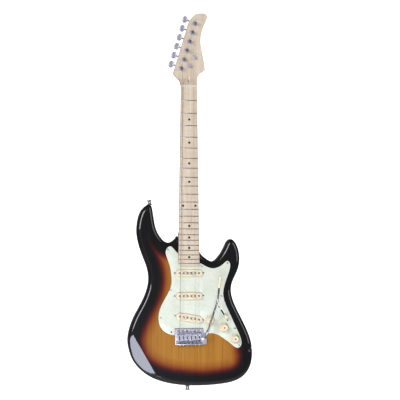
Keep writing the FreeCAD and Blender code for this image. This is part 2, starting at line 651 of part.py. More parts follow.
def jack_bore():
    """Stepped bore in the treble edge for the output jack, running into the control cavity."""
    centre = [Vector(x, JACK_Y, JACK_Z) for x in (JACK_FACE_X + 20, JACK_FACE_X, JACK_FACE_X - 50)]
    return [rod(13.2, centre[0], centre[1]), rod(9.5, centre[1], centre[2])]


def make_body(screws):
    """Body with all its cavities and screw holes."""
    body = body_blank()
    low = BRIDGE_PICKUP_Z - 18
    high = NECK_PICKUP_Z + 12.5
    pickups = rounded_block(PICKUP_X - 43.8, PICKUP_X + 43.8, -1, PICKUP_CAVITY_DEPTH, low, high, 6.0)
    controls = prism(straight(flat(CONTROL_CAVITY + CONTROL_CAVITY[:1], HEEL_END)), -1, CONTROL_CAVITY_DEPTH)
    channel = rod(3.0, Vector(30, 12, HEEL_END - 134), Vector(60, 12, HEEL_END - 142))
    hollows = [forearm_bevel(), belly_hollow(), pocket(), pickups, controls, channel]
    body = body.cut(hollows + spring_cavity() + jack_bore())
    node("body", body.cut(screws))


# ---------------------------------------------------------------- pickguard, pickups
def guard_outline():
    """Closed edge chain of the pickguard."""
    z0 = HEEL_END
    side = neck_width(HEEL_END) / 2 + NECK_GAP + 0.3
    notch_z = PLATE_FRONT_Z + GUARD_BRIDGE_GAP
    ear_z = BRIDGE_Z + ARM_SOCKET[1] + EAR_OVER_SOCKET + GUARD_BRIDGE_GAP
    left = BRIDGE_LEFT - GUARD_BRIDGE_GAP
    step = BRIDGE_RIGHT + GUARD_BRIDGE_GAP
    right = BRIDGE_EAR + GUARD_BRIDGE_GAP
    low_left = Vector(left - 0.5, 0, BRIDGE_Z - 6.0)
    low_right = Vector(right + 0.5, 0, ear_z - 3.0)
    neck_left = Vector(-side, 0, z0 + 24.5)
    bass = smooth([neck_left] + flat(GUARD_BASS, z0) + [low_left])
    neck_right = Vector(side + 2, 0, z0 - 1.5)
    treble = smooth([low_right] + flat(GUARD_TREBLE, z0) + [neck_right])
    notch = straight([low_left, Vector(left, 0, notch_z), Vector(step, 0, notch_z), Vector(step, 0, ear_z),
                      Vector(right, 0, ear_z), low_right])
    neck_edge = straight([neck_right, Vector(side, 0, z0 - 0.8), Vector(-side, 0, z0 - 0.8), neck_left])
    return [bass] + notch + [treble] + neck_edge


def cover_openings():
    """Openings in the pickguard for the three pickup covers."""
    opening = stadium(COVER_LENGTH + 2 * CONTROL_GAP, COVER_WIDTH + 2 * CONTROL_GAP, GUARD_Y - 1, 1)
    return [placed(opening, tilt, PICKUP_X, z) for z, tilt in PICKUPS]


def make_pickups():
    """Three single-coil pickups: cover, magnets, coil and flatwork, hung on two screws each."""
    covers, poles, coils, bobbins, screws, tubes = [], [], [], [], [], []
    top = -COVER_TOP
    pole_xs = [(i / 5.0 - 0.5) * POLE_SPAN for i in range(STRING_COUNT)]
    ears = [-PICKUP_SCREW_SPACING / 2, PICKUP_SCREW_SPACING / 2]
    rods = [rod_y(POLE_RADIUS, x, 0, top - 0.9, BOBBIN_Y + 1.0) for x in pole_xs]
    inner = stadium(COVER_LENGTH - 2 * COVER_WALL, COVER_WIDTH - 2 * COVER_WALL, top + COVER_WALL, BOBBIN_Y)
    shell = stadium(COVER_LENGTH, COVER_WIDTH, top, BOBBIN_Y - 2).cut([inner] + rods)
    coil = stadium(COVER_LENGTH - 5, COVER_WIDTH - 5, top + 3.2, BOBBIN_Y).cut(rods)
    upper = stadium(COVER_LENGTH - 4, COVER_WIDTH - 4, top + COVER_WALL + 0.3, top + 3.2).cut(rods)
    ear_screws = [front_screw(x, 0, GUARD_Y, 17.0, 1.4, 2.9, 1.6) for x in ears]
    lower = stadium(BOBBIN_LENGTH, COVER_WIDTH, BOBBIN_Y, BOBBIN_Y + 2.4).cut(rods + ear_screws)
    ear_tubes = [turned([(1.4, 0), (2.8, 0), (2.8, BOBBIN_Y), (1.4, BOBBIN_Y)], x) for x in ears]
    for z, tilt in PICKUPS:
        for solids, shapes in ((covers, [shell]), (poles, rods), (coils, [coil]), (bobbins, [upper, lower]),
                               (screws, ear_screws), (tubes, ear_tubes)):
            solids.extend(placed(shape, tilt, PICKUP_X, z) for shape in shapes)
    node("pickup_covers", *covers)
    node("pole_pieces", *poles)
    node("pickup_coils", *coils)
    node("pickup_bobbins", *bobbins)
    node("pickup_tubes", *tubes)
    return screws


# ---------------------------------------------------------------- controls
def knob_solid(x, z):
    """Skirted knob on its shaft; the underside is hollow round the panel nut."""
    skirt = GUARD_Y - KNOB_GAP
    tip = GUARD_Y - KNOB_HEIGHT
    profile = [(SHAFT_RADIUS, skirt - 4.6), (8.4, skirt - 4.6), (8.4, skirt), (KNOB_RADIUS, skirt),
               (KNOB_RADIUS, skirt - 1.2), (KNOB_TOP_RADIUS + 1.3, skirt - 4.4), (KNOB_TOP_RADIUS, tip + 1.2),
               (KNOB_TOP_RADIUS - 1.2, tip), (0, tip), (0, tip + 3), (SHAFT_RADIUS, tip + 3)]
    return turned(profile, x, z)


def make_controls():
    """Volume and two tone controls: potentiometer, nut, shaft and knob."""
    pots, nuts = [], []
    front = GUARD_Y - PANEL_NUT_THICKNESS - 0.5
    for name, x, drop in KNOBS:
        z = HEEL_END + drop
        shaft = rod_y(SHAFT_RADIUS, x, z, GUARD_Y - KNOB_HEIGHT + 3, POT_Y + 6)
        node(name + "_knob", knob_solid(x, z), shaft)
        can = rod_y(POT_RADIUS, x, z, POT_Y, POT_Y + 10)
        bush = rod_y(BUSHING_RADIUS, x, z, front, POT_Y + 1)
        bore = rod_y(SHAFT_RADIUS + RUNNING_GAP, x, z, front - 1, POT_Y + 6.5)
        pots.append(can.fuse(bush).cut(bore).removeSplitter())
        nuts.append(hexagon(PANEL_NUT_AF, BUSHING_RADIUS, GUARD_Y - PANEL_NUT_THICKNESS, GUARD_Y, x, z))
    node("potentiometers", *pots)
    return nuts


def make_switch():
    """Blade selector: frame under the pickguard, and a lever with a tip that swings through a slot."""
    x = SWITCH_CENTRE[0]
    z = SWITCH_CENTRE[1] + HEEL_END
    depth = BODY_THICKNESS - 14
    frame = box(-23, 23, 0, 1.2, -6.5, 6.5)
    frame = frame.fuse([box(-16, 16, 1.2, depth, 4.6, 6.2), box(-14, 14, 3, depth - 2, -6.3, -4.9)])
    frame = frame.cut(box(-13, 13, -1, 2, -2.2, 2.2))

    def pivot(radius, z0, z1):
        return rod(radius, Vector(0, SWITCH_PIVOT_Y, z0), Vector(0, SWITCH_PIVOT_Y, z1))

    pin = pivot(1.5, -4.9, 4.6)
    screws = [front_screw(s * SWITCH_SCREW_SPACING / 2, 0, GUARD_Y, 7.0, 1.4, 2.9, 1.6) for s in (-1, 1)]
    frame = frame.fuse(pin).cut(screws)
    half = LEVER_THICKNESS / 2
    width = LEVER_WIDTH / 2
    blade = box(-width, width, -12, SWITCH_PIVOT_Y, -half, half)
    lever = pivot(4.0, -2.5, 2.5).fuse(blade).cut(pivot(1.5 + RUNNING_GAP, -5, 5))
    tip = rounded_block(-4.2, 4.2, -19.5, -8.0, -3.4, 3.4, 1.2).cut(box(-width, width, -12, 0, -half, half))
    for piece in (lever, tip):
        piece.rotate(Vector(0, SWITCH_PIVOT_Y, 0), Vector(0, 0, 1), SWITCH_SWING)
    node("selector_switch", placed(frame, SWITCH_TILT, x, z))
    node("selector_lever", placed(lever, SWITCH_TILT, x, z))
    node("selector_tip", placed(tip, SWITCH_TILT, x, z))
    slot = placed(stadium(24.0, 4.0, GUARD_Y - 1, 1), SWITCH_TILT, x, z)
    return [placed(screw, SWITCH_TILT, x, z) for screw in screws], slot


def make_jack():
    """Output jack on a round plate in the treble edge."""
    face = JACK_FACE_X

    def disc(radius, x0, x1):
        return rod(radius, Vector(x0, JACK_Y, JACK_Z), Vector(x1, JACK_Y, JACK_Z))

    screws = []
    for side in (-1, 1):
        z = JACK_Z + side * 10.6
        screws.append(rod(1.3, Vector(face - 10, JACK_Y, z), Vector(face + 1.2, JACK_Y, z))
                      .fuse(rod(1.9, Vector(face + 0.8, JACK_Y, z), Vector(face + 1.7, JACK_Y, z))))
    plate = disc(13.0, face, face + 1.2).cut([disc(4.8, face - 1, face + 3)] + screws)
    barrel = disc(4.8, face - 8.8, face + 3.2).fuse(disc(8.0, face - 10.8, face - 1.5))
    contact = box(face - 30, face - 10.8, JACK_Y + 3.6, JACK_Y + 4.6, JACK_Z - 2.5, JACK_Z + 2.5)
    node("jack_plate", plate)
    node("output_jack", barrel.cut(disc(JACK_BORE_RADIUS, face - 12, face + 4)).fuse(contact))
    nut = disc(7.0, face + 1.2, face + 3.0).cut(disc(4.8, face, face + 4))
    return screws, nut


# ---------------------------------------------------------------- vibrato bridge
def saddle_front_z(index):
    """Height of a saddle's front edge, where its string breaks."""
    return BRIDGE_Z - COMPENSATION[index]


def make_saddles():
    """Six block saddles, each on two height screws and one sprung intonation screw."""
    saddles, height_screws, long_screws, springs = [], [], [], []
    lip_z = PLATE_REAR_Z + 2.0
    base = PLATE_FRONT_Y - 0.9
    for index, x in enumerate(SADDLE_XS):
        z = saddle_front_z(index)
        rear = z - SADDLE_LENGTH
        half = SADDLE_WIDTH / 2
        block = box(x - half, x + half, -SADDLE_TOP, base, rear, z)
        rims = [e for e in block.Edges
                if abs(e.CenterOfMass.y + SADDLE_TOP) < 0.01 and abs(e.tangentAt(e.FirstParameter).x) > 0.9]
        block = block.makeFillet(1.6, rims)
        slot = placed(stadium(11.0, 3.6, -SADDLE_TOP - 1, base + 1), 90.0, x, z - 8.4)
        studs = [rod_y(1.25, x + dx, z - 6.0, PLATE_FRONT_Y - 8.6, PLATE_FRONT_Y) for dx in (-3.45, 3.45)]
        screw = rod(1.3, Vector(x, -9.0, PLATE_REAR_Z - 1), Vector(x, -9.0, rear + 2.6))
        head = rod(2.3, Vector(x, -9.0, PLATE_REAR_Z - 2.6), Vector(x, -9.0, PLATE_REAR_Z))
        screw = screw.fuse(head).removeSplitter()
        saddles.append(block.cut([slot, screw] + studs))
        height_screws += studs
        long_screws.append(screw)
        spring = rod(2.5, Vector(x, -9.0, lip_z), Vector(x, -9.0, rear))
        springs.append(spring.cut(rod(1.6, Vector(x, -9.0, lip_z - 1), Vector(x, -9.0, rear + 1))))
    node("saddles", *saddles)
    node("saddle_screws", *(height_screws + long_screws))
    node("intonation_springs", *springs)
    return long_screws


def make_bridge():
    """Bridge plate with its rear lip and arm sleeve, the inertia block under it and the string ends."""
    long_screws = make_saddles()
    x_arm = ARM_SOCKET[0]
    z_arm = BRIDGE_Z + ARM_SOCKET[1]
    plate = rounded_block(BRIDGE_LEFT, BRIDGE_RIGHT, PLATE_FRONT_Y, PLATE_BACK_Y,
                          PLATE_REAR_Z, PLATE_FRONT_Z, 2.0)
    ear = rounded_block(0, BRIDGE_EAR, PLATE_FRONT_Y, PLATE_BACK_Y, PLATE_REAR_Z, z_arm + EAR_OVER_SOCKET, 4.0)
    lip = box(BRIDGE_LEFT + 1.5, BRIDGE_RIGHT - 1.5, PLATE_FRONT_Y - LIP_HEIGHT + 1.5, PLATE_FRONT_Y,
              PLATE_REAR_Z, PLATE_REAR_Z + 2)
    sleeve = rod_y(4.6, x_arm, z_arm, PLATE_FRONT_Y - 3.4, 8.0)
    bore = rod_y(ARM_RADIUS + RUNNING_GAP, x_arm, z_arm, -20, 7.0)
    pivots = [rod_y(3.0, x, PIVOT_Z, -10, 0) for x in SADDLE_XS]
    string_holes = [rod_y(1.7, x, BLOCK_Z, -8, 0) for x in SADDLE_XS]
    back = PLATE_BACK_Y + BLOCK_DEPTH
    block = box(-BLOCK_WIDTH / 2, BLOCK_WIDTH / 2, PLATE_BACK_Y, back,
                BLOCK_Z - BLOCK_THICKNESS / 2, BLOCK_Z + BLOCK_THICKNESS / 2)
    wells = [rod_y(2.1, x, BLOCK_Z, 12, back + 1) for x in SADDLE_XS]
    throats = [rod_y(0.9, x, BLOCK_Z, PLATE_BACK_Y - 1, 13) for x in SADDLE_XS]
    holders = [front_screw(x, BLOCK_Z - 3.4, PLATE_FRONT_Y, 14.0, 1.2, 1.6, 0.4) for x in (-20.3, 0.7, 21.7)]
    spring_ends = [Vector(x, back - SPRING_Y_FROM_BLOCK, BLOCK_Z) for x in SPRING_XS]
    spring_holes = [rod(1.2, end, end.add(Vector(0, 0, 12))) for end in spring_ends]
    node("inertia_block", block.cut(wells + throats + holders + spring_holes))
    plate = plate.fuse([ear, lip, sleeve]).cut([bore] + pivots + string_holes + holders + long_screws)
    node("bridge_plate", plate.removeSplitter())
    node("block_screws", *holders)
    ends = []
    for index, x in enumerate(SADDLE_XS):
        radius = STRING_RADII[index]
        z = saddle_front_z(index)
        y = -SADDLE_TOP - radius
        path = [Vector(x, y, z - 0.4), Vector(x, y, z - 4.6), Vector(x, -6.0, BLOCK_Z),
                Vector(x, 12.0, BLOCK_Z)]
        ball = rod_y(1.9, x, BLOCK_Z, 12.0, 15.5)
        ends.append(bar(path, radius).fuse(ball))
    node("string_ends", *ends)
    return [front_screw(x, PIVOT_Z, PLATE_FRONT_Y - 1.2, 26.0, 1.9, 3.4, 2.2) for x in SADDLE_XS]


def make_springs():
    """Spring claw, its two screws and three springs that pull the block towards the neck."""
    y = PLATE_BACK_Y + BLOCK_DEPTH - SPRING_Y_FROM_BLOCK
    low = BLOCK_Z + BLOCK_THICKNESS / 2 + 0.4
    cavity_top = BLOCK_Z - BLOCK_THICKNESS / 2 - 14 + SPRING_CAVITY_LENGTH
    claw_z = cavity_top - 18.0
    claw = box(-30, 30, y - 5.5, y + 1.5, claw_z, claw_z + 2.0)
    screws = []
    for x in CLAW_SCREW_XS:
        head = Vector(x, y - 2, claw_z - 2.6)
        screw = rod(1.9, head, Vector(x, y - 2, cavity_top + 26))
        screws.append(screw.fuse(rod(3.6, head, Vector(x, y - 2, claw_z))).removeSplitter())
    springs = []
    for x in SPRING_XS:
        tube = rod(4.0, Vector(x, y, low + 6), Vector(x, y, claw_z - 5))
        tube = tube.cut(rod(3.0, Vector(x, y, low + 7), Vector(x, y, claw_z - 6)))
        springs.append(tube.fuse([rod(0.6, Vector(x, y, low), Vector(x, y, low + 6.5)),
                                  rod(0.6, Vector(x, y, claw_z - 5.5), Vector(x, y, claw_z))]))
    node("spring_claw", claw.cut(screws))
    node("claw_screws", *screws)
    node("vibrato_springs", *springs)
    return screws


def make_arm():
    """Vibrato arm with its plastic tip; it turns in the bridge's sleeve."""
    x, z = ARM_SOCKET[0], BRIDGE_Z + ARM_SOCKET[1]
    path = [Vector(x, 6.6, z), Vector(x, -20.0, z), Vector(x + 2.2, -26.0, z + 6.5),
            Vector(x + 24.0, -33.5, z + 78.0), Vector(x + 28.5, -35.5, z + 93.0),
            Vector(x + 31.0, -37.2, z + 106.0), Vector(x + 33.6, -39.5, z + 133.0),
            Vector(x + 37.0, -42.0, z + 160.0)]
    arm = bar(path, ARM_RADIUS)
    axis = path[-1].sub(path[-2])
    axis.normalize()
    tip_start = path[-2].add(axis * 1.0)
    tip_end = path[-1].add(axis * 8.0)
    tip = rod(3.7, tip_start, tip_end).fuse(Part.makeSphere(3.7, tip_end))
    node("vibrato_arm", arm)
    node("arm_tip", tip.removeSplitter().cut(arm))


def make_strings():
    """Strings at rest from the saddles over the nut to their posts."""
    strings = []
    tree_zs = {index: z for _, z, _, held in TREES for index in held}
    for index in range(STRING_COUNT):
        radius = STRING_RADII[index]
        z = saddle_front_z(index)
        nut_x = NUT_XS[index]
        nut_y = fretboard_y(nut_x) - STRING_OVER_NUT
        x, post_z = post_place(index)
        path = [Vector(SADDLE_XS[index], -SADDLE_TOP - radius, z), Vector(nut_x, nut_y, 0.0),
                Vector(nut_x, nut_y, NUT_THICKNESS)]
        if index in tree_zs:
            tree_z = tree_zs[index]
            share = (tree_z - NUT_THICKNESS) / (post_z - NUT_THICKNESS)
            tree_x = nut_x + (x + POST_RADIUS - nut_x) * share
            path.append(Vector(tree_x, -TREE_HEIGHT + TREE_GAP + radius, tree_z))
        path.append(Vector(x + POST_RADIUS + 0.1, -8.0, post_z))
        strings.append(bar(path, radius))
    node("strings", *strings)


# ---------------------------------------------------------------- plates, buttons and small screws
def make_back():
    """Neck plate and rear cover with their screws."""
    back = BODY_THICKNESS
    middle = HEEL_TOP - 39.0
    plate = rounded_block(-25.5, 25.5, back, back + 2.0, middle - 32, middle + 32, 5.0)
    corners = [(x, middle + dz) for x in (-19, 19) for dz in (-24, 24)]
    neck_screws = [back_screw(x, z, back + 2.0, 38.0, 2.3, 4.4, 2.0) for x, z in corners]
    node("neck_plate", plate.cut(neck_screws))
    low = BLOCK_Z - BLOCK_THICKNESS / 2 - 19
    high = low + SPRING_CAVITY_LENGTH + 10
    half = SPRING_CAVITY_WIDTH / 2 + 6
    cover = rounded_block(-half, half, back, back + 2.2, low, high, 8.0)
    window = placed(stadium(62.0, 15.0, back - 1, back + 4), 0, 0.7, BLOCK_Z)
    spots = [(x, z) for x in (-half + 3.2, half - 3.2) for z in (low + 9, (low + high) / 2, high - 9)]
    screws = [back_screw(x, z, back + 2.2, 12.0, 1.3, 2.7, 1.3) for x, z in spots]
    node("rear_cover", cover.cut([window] + screws))
    return neck_screws, screws


def strap_button(origin, axis):
    """Flared strap button on its felt, and its wood screw."""
    def part(radius_a, radius_b, a, b):
        start = origin.add(axis * a)
        if abs(radius_a - radius_b) < 1e-6:
            return Part.makeCylinder(radius_a, b - a, start, axis)
        return Part.makeCone(radius_a, radius_b, b - a, start, axis)

    screw = part(2.1, 2.1, -28, 11.2).fuse(part(3.6, 3.6, 11.2, 12.4)).removeSplitter()
    felt = part(7.0, 7.0, -1.5, 0.6).cut(screw)
    waist = part(4.5, 4.5, 3.0, 8.6)
    flare = part(4.5, 6.5, 8.6, 10.2)
    button = part(6.0, 4.5, 0.6, 3.0).fuse([waist, flare, part(6.5, 6.0, 10.2, 11.8)])
    return button.removeSplitter().cut(screw), screw, felt


def make_strap_buttons():
    """Two strap buttons: on the upper horn and at the tail."""
    y = BODY_THICKNESS / 2
    spots = [(Vector(-101.5, y, HEEL_END + 153.3), Vector(-0.1, 0, 1)),
             (Vector(0.0, y, HEEL_END - 324.9), Vector(0, 0, -1))]
    for _, axis in spots:
        axis.normalize()
    buttons, screws, felts = zip(*[strap_button(origin, axis) for origin, axis in spots])
    node("strap_buttons", *buttons)
    node("strap_felts", *felts)
    return list(screws), list(felts)


def main():
    os.makedirs("parts", exist_ok=True)
    make_neck()
    lug_screws, post_holes = make_tuners()
    trees, tree_screws = zip(*[string_tree(x, z, reach) for x, z, reach, _ in TREES])
    node("string_trees", *trees)
    head_screws = lug_screws + list(tree_screws)
    node("headstock_screws", *head_screws)
    NODES["neck"] = NODES["neck"].cut(post_holes + head_screws)
    make_strings()
    pickup_screws = make_pickups()
    nuts = make_controls()
    switch_screws, switch_slot = make_switch()
    jack_screws, jack_nut = make_jack()
    node("panel_nuts", *(nuts + [jack_nut]))
    node("pickup_screws", *(pickup_screws + switch_screws))
    pivot_screws = make_bridge()
    node("pivot_screws", *pivot_screws)
    claw_screws = make_springs()
    make_arm()
    neck_screws, cover_screws = make_back()
    NODES["neck"] = NODES["neck"].cut(neck_screws)
    strap_screws, felts = make_strap_buttons()
    node("body_screws", *(neck_screws + strap_screws))
    guard_screws = [front_screw(x, z + HEEL_END, GUARD_Y, 14.0, 1.3, 2.7, 1.3) for x, z in GUARD_SCREWS]
    node("cover_screws", *(guard_screws + cover_screws + jack_screws))
    bushings = [rod_y(BUSHING_RADIUS, x, z + HEEL_END, GUARD_Y - 1, 1) for _, x, z in KNOBS]
    guard_holes = cover_openings() + bushings + [switch_slot] + guard_screws + pickup_screws + switch_screws
    node("pickguard", prism(guard_outline(), GUARD_Y, 0).cut(guard_holes))
    wood_screws = guard_screws + cover_screws + jack_screws + pivot_screws + claw_screws + neck_screws
    make_body(wood_screws + strap_screws + felts)
    for name, shape in NODES.items():
        shape.exportStep("parts/%s.step" % name)
    print("%d nodes" % len(NODES))


main()
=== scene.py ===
"""Looks of the electric guitar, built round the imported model. Metres; front faces -Y, +Z up the neck."""

import json
import math

import bmesh
import bpy
import numpy as np
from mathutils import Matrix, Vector
from mathutils.bvhtree import BVHTree


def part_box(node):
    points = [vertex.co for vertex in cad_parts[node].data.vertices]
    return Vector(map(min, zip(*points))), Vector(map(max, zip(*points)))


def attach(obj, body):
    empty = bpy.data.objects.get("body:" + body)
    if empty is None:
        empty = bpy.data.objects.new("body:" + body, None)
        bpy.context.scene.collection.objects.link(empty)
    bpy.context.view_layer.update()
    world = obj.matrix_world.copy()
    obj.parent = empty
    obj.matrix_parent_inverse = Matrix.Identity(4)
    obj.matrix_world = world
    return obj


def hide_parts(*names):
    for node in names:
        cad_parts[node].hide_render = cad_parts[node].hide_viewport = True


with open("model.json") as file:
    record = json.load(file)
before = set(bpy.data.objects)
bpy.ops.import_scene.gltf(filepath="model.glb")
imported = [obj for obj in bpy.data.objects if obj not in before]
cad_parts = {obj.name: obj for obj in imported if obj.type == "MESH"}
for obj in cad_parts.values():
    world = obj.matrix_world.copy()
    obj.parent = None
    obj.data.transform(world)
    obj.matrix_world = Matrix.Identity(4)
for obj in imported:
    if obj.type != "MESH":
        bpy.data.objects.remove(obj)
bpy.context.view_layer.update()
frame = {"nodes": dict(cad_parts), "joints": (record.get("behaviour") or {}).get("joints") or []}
MM = 0.001


# ---------------------------------------------------------------- materials
class Paint:
    """A node material with a Principled shader, and short ways to wire its nodes."""

    def __init__(self, name, **values):
        self.material = bpy.data.materials.new(name)
        self.material.use_nodes = True
        self.tree = self.material.node_tree
        self.shader = self.tree.nodes["Principled BSDF"]
        for key, value in values.items():
            self.shader.inputs[key.replace("_", " ")].default_value = value
        self.coords = self.tree.nodes.new("ShaderNodeTexCoord").outputs["Object"]

    def node(self, kind, **values):
        made = self.tree.nodes.new(kind)
        for key, value in values.items():
            setattr(made, key, value)
        return made

    def link(self, start, end):
        self.tree.links.new(start, end)

    def noise(self, scale, detail=3.0, roughness=0.55, distortion=0.0):
        """Noise over object space, stretched by a scale for each axis."""
        mapping = self.node("ShaderNodeMapping")
        mapping.inputs["Scale"].default_value = scale
        self.link(self.coords, mapping.inputs["Vector"])
        noise = self.node("ShaderNodeTexNoise")
        noise.inputs["Scale"].default_value = 1.0
        noise.inputs["Detail"].default_value = detail
        noise.inputs["Roughness"].default_value = roughness
        noise.inputs["Distortion"].default_value = distortion
        self.link(mapping.outputs["Vector"], noise.inputs["Vector"])
        return noise.outputs["Fac"]

    def ramp(self, factor, stops):
        """Colour ramp with (place, colour) stops."""
        ramp = self.node("ShaderNodeValToRGB")
        elements = ramp.color_ramp.elements
        while len(elements) < len(stops):
            elements.new(0.5)
        for element, (place, color) in zip(elements, stops):
            element.position = place
            element.color = (*color, 1.0)
        self.link(factor, ramp.inputs["Fac"])
        return ramp.outputs["Color"]

    def span(self, factor, low, high, start=0.0, end=1.0):
        """A factor stretched from one range to another."""
        span = self.node("ShaderNodeMapRange")
        for key, value in zip(("From Min", "From Max", "To Min", "To Max"), (start, end, low, high)):
            span.inputs[key].default_value = value
        self.link(factor, span.inputs["Value"])
        return span.outputs["Result"]

    def math(self, operation, first, second):
        """A math node on two sockets or numbers."""
        made = self.node("ShaderNodeMath", operation=operation)
        for socket, value in zip(made.inputs, (first, second)):
            if isinstance(value, (int, float)):
                socket.default_value = value
            else:
                self.link(value, socket)
        return made.outputs["Value"]

    def mix(self, factor, first, second, mode="MIX"):
        """Two colours mixed; each is a socket or a colour."""
        made = self.node("ShaderNodeMix", data_type="RGBA", blend_type=mode)
        for socket, value in zip((made.inputs[0], made.inputs[6], made.inputs[7]), (factor, first, second)):
            if isinstance(value, (int, float)):
                socket.default_value = value
            elif isinstance(value, tuple):
                socket.default_value = (*value, 1.0)
            else:
                self.link(value, socket)
        return made.outputs[2]

    def axis(self, name):
        """One object-space coordinate."""
        split = self.node("ShaderNodeSeparateXYZ")
        self.link(self.coords, split.inputs["Vector"])
        return split.outputs[name]

    def bump(self, height, distance, strength=1.0):
        bump = self.node("ShaderNodeBump")
        bump.inputs["Distance"].default_value = distance
        bump.inputs["Strength"].default_value = strength
        self.link(height, bump.inputs["Height"])
        self.link(bump.outputs["Normal"], self.shader.inputs["Normal"])

    def color(self, socket):
        self.link(socket, self.shader.inputs["Base Color"])

    def rough(self, factor, low, high):
        self.link(self.span(factor, low, high, 0.3, 0.7), self.shader.inputs["Roughness"])


def plain(name, dark, light, rough, scale, bump=0.0, **values):
    """Material with mottled colour, uneven roughness and, if asked, a fine bump."""
    paint = Paint(name, **values)
    mottle = paint.noise(scale)
    paint.color(paint.ramp(mottle, ((0.3, dark), (0.7, light))))
    paint.rough(paint.noise(tuple(2.3 * s for s in scale), detail=5.0), *rough)
    if bump:
        paint.bump(paint.noise(tuple(5.0 * s for s in scale)), bump)
    return paint.material


def burst_material():
    """Three-colour burst by distance from the rim, over faint vertical grain, under clear coat."""
    paint = Paint("sunburst_lacquer", Coat_Weight=1.0, Coat_Roughness=0.02, Coat_IOR=1.5)
    paint.shader.inputs["Specular IOR Level"].default_value = 0.12
    rim = paint.node("ShaderNodeAttribute", attribute_name="rim").outputs["Fac"]
    sway = paint.span(paint.noise((9.0, 9.0, 9.0), detail=1.0), -0.004, 0.004)
    distance = paint.math("MULTIPLY", paint.math("ADD", rim, sway), 10.0)
    burst = paint.ramp(distance, (
        (0.0, (0.0035, 0.0033, 0.0045)), (0.255, (0.004, 0.0035, 0.0045)), (0.315, (0.030, 0.005, 0.005)),
        (0.37, (0.115, 0.012, 0.007)), (0.43, (0.235, 0.052, 0.010)), (0.52, (0.35, 0.125, 0.017)),
        (0.66, (0.44, 0.195, 0.028))))
    streaks = paint.noise((260.0, 60.0, 5.0), detail=4.0, distortion=0.4)
    broad = paint.noise((45.0, 20.0, 2.5), detail=2.0)
    grain = paint.ramp(streaks, (
        (0.28, (0.80, 0.74, 0.66)), (0.52, (1.0, 1.0, 1.0)), (0.8, (1.06, 1.04, 1.0))))
    tone = paint.ramp(broad, ((0.3, (0.90, 0.88, 0.84)), (0.7, (1.05, 1.05, 1.05))))
    paint.color(paint.mix(1.0, paint.mix(1.0, burst, grain, "MULTIPLY"), tone, "MULTIPLY"))
    paint.rough(streaks, 0.30, 0.42)
    return paint.material


def maple_material():
    """Pale maple with fine straight grain, slight figure and a satin coat."""
    paint = Paint("maple", Coat_Weight=0.35, Coat_Roughness=0.18)
    fibre = paint.noise((900.0, 900.0, 14.0), detail=4.0)
    ring = paint.noise((70.0, 70.0, 3.2), detail=3.0, distortion=0.6)
    figure = paint.noise((40.0, 40.0, 130.0), detail=2.0)
    base = paint.ramp(ring, (
        (0.28, (0.63, 0.51, 0.375)), (0.5, (0.74, 0.625, 0.49)), (0.75, (0.80, 0.70, 0.57))))
    fine = paint.ramp(fibre, ((0.3, (0.88, 0.85, 0.80)), (0.6, (1.0, 1.0, 1.0))))
    curl = paint.ramp(figure, ((0.35, (0.95, 0.94, 0.92)), (0.65, (1.03, 1.03, 1.03))))
    paint.color(paint.mix(1.0, paint.mix(1.0, base, fine, "MULTIPLY"), curl, "MULTIPLY"))
    paint.rough(fibre, 0.32, 0.46)
    paint.bump(fibre, 0.00003, 0.5)
    return paint.material


def guard_material(front):
    """Three-ply plastic: pale green-white faces round a dark core that shows at the edge."""
    paint = Paint("mint_plastic", Coat_Weight=0.25, Coat_Roughness=0.08)
    haze = paint.noise((30.0, 30.0, 30.0), detail=2.0)
    face = paint.ramp(haze, ((0.3, (0.72, 0.765, 0.63)), (0.7, (0.765, 0.81, 0.675))))
    depth = paint.math("SUBTRACT", paint.axis("Y"), front)
    core = paint.ramp(paint.math("MULTIPLY", depth, 400.0), (
        (0.0, (0.0, 0.0, 0.0)), (0.33, (0.0, 0.0, 0.0)), (0.37, (1.0, 1.0, 1.0)), (0.62, (1.0, 1.0, 1.0)),
        (0.66, (0.0, 0.0, 0.0))))
    paint.color(paint.mix(core, face, (0.02, 0.02, 0.022)))
    paint.rough(paint.noise((120.0, 120.0, 120.0), detail=5.0), 0.22, 0.34)
    return paint.material


def string_material():
    """Nickel string; the three low ones are round wound."""
    paint = Paint("string_steel", Metallic=1.0)
    tarnish = paint.noise((60.0, 60.0, 40.0))
    paint.color(paint.ramp(tarnish, ((0.3, (0.24, 0.22, 0.20)), (0.7, (0.34, 0.32, 0.30)))))
    paint.rough(tarnish, 0.25, 0.4)
    turn = paint.math("SINE", paint.math("MULTIPLY", paint.axis("Z"), 16000.0), 0.0)
    wound = paint.math("LESS_THAN", paint.axis("X"), 0.0012)
    paint.bump(paint.math("MULTIPLY", turn, wound), 0.00005, 0.7)
    return paint.material


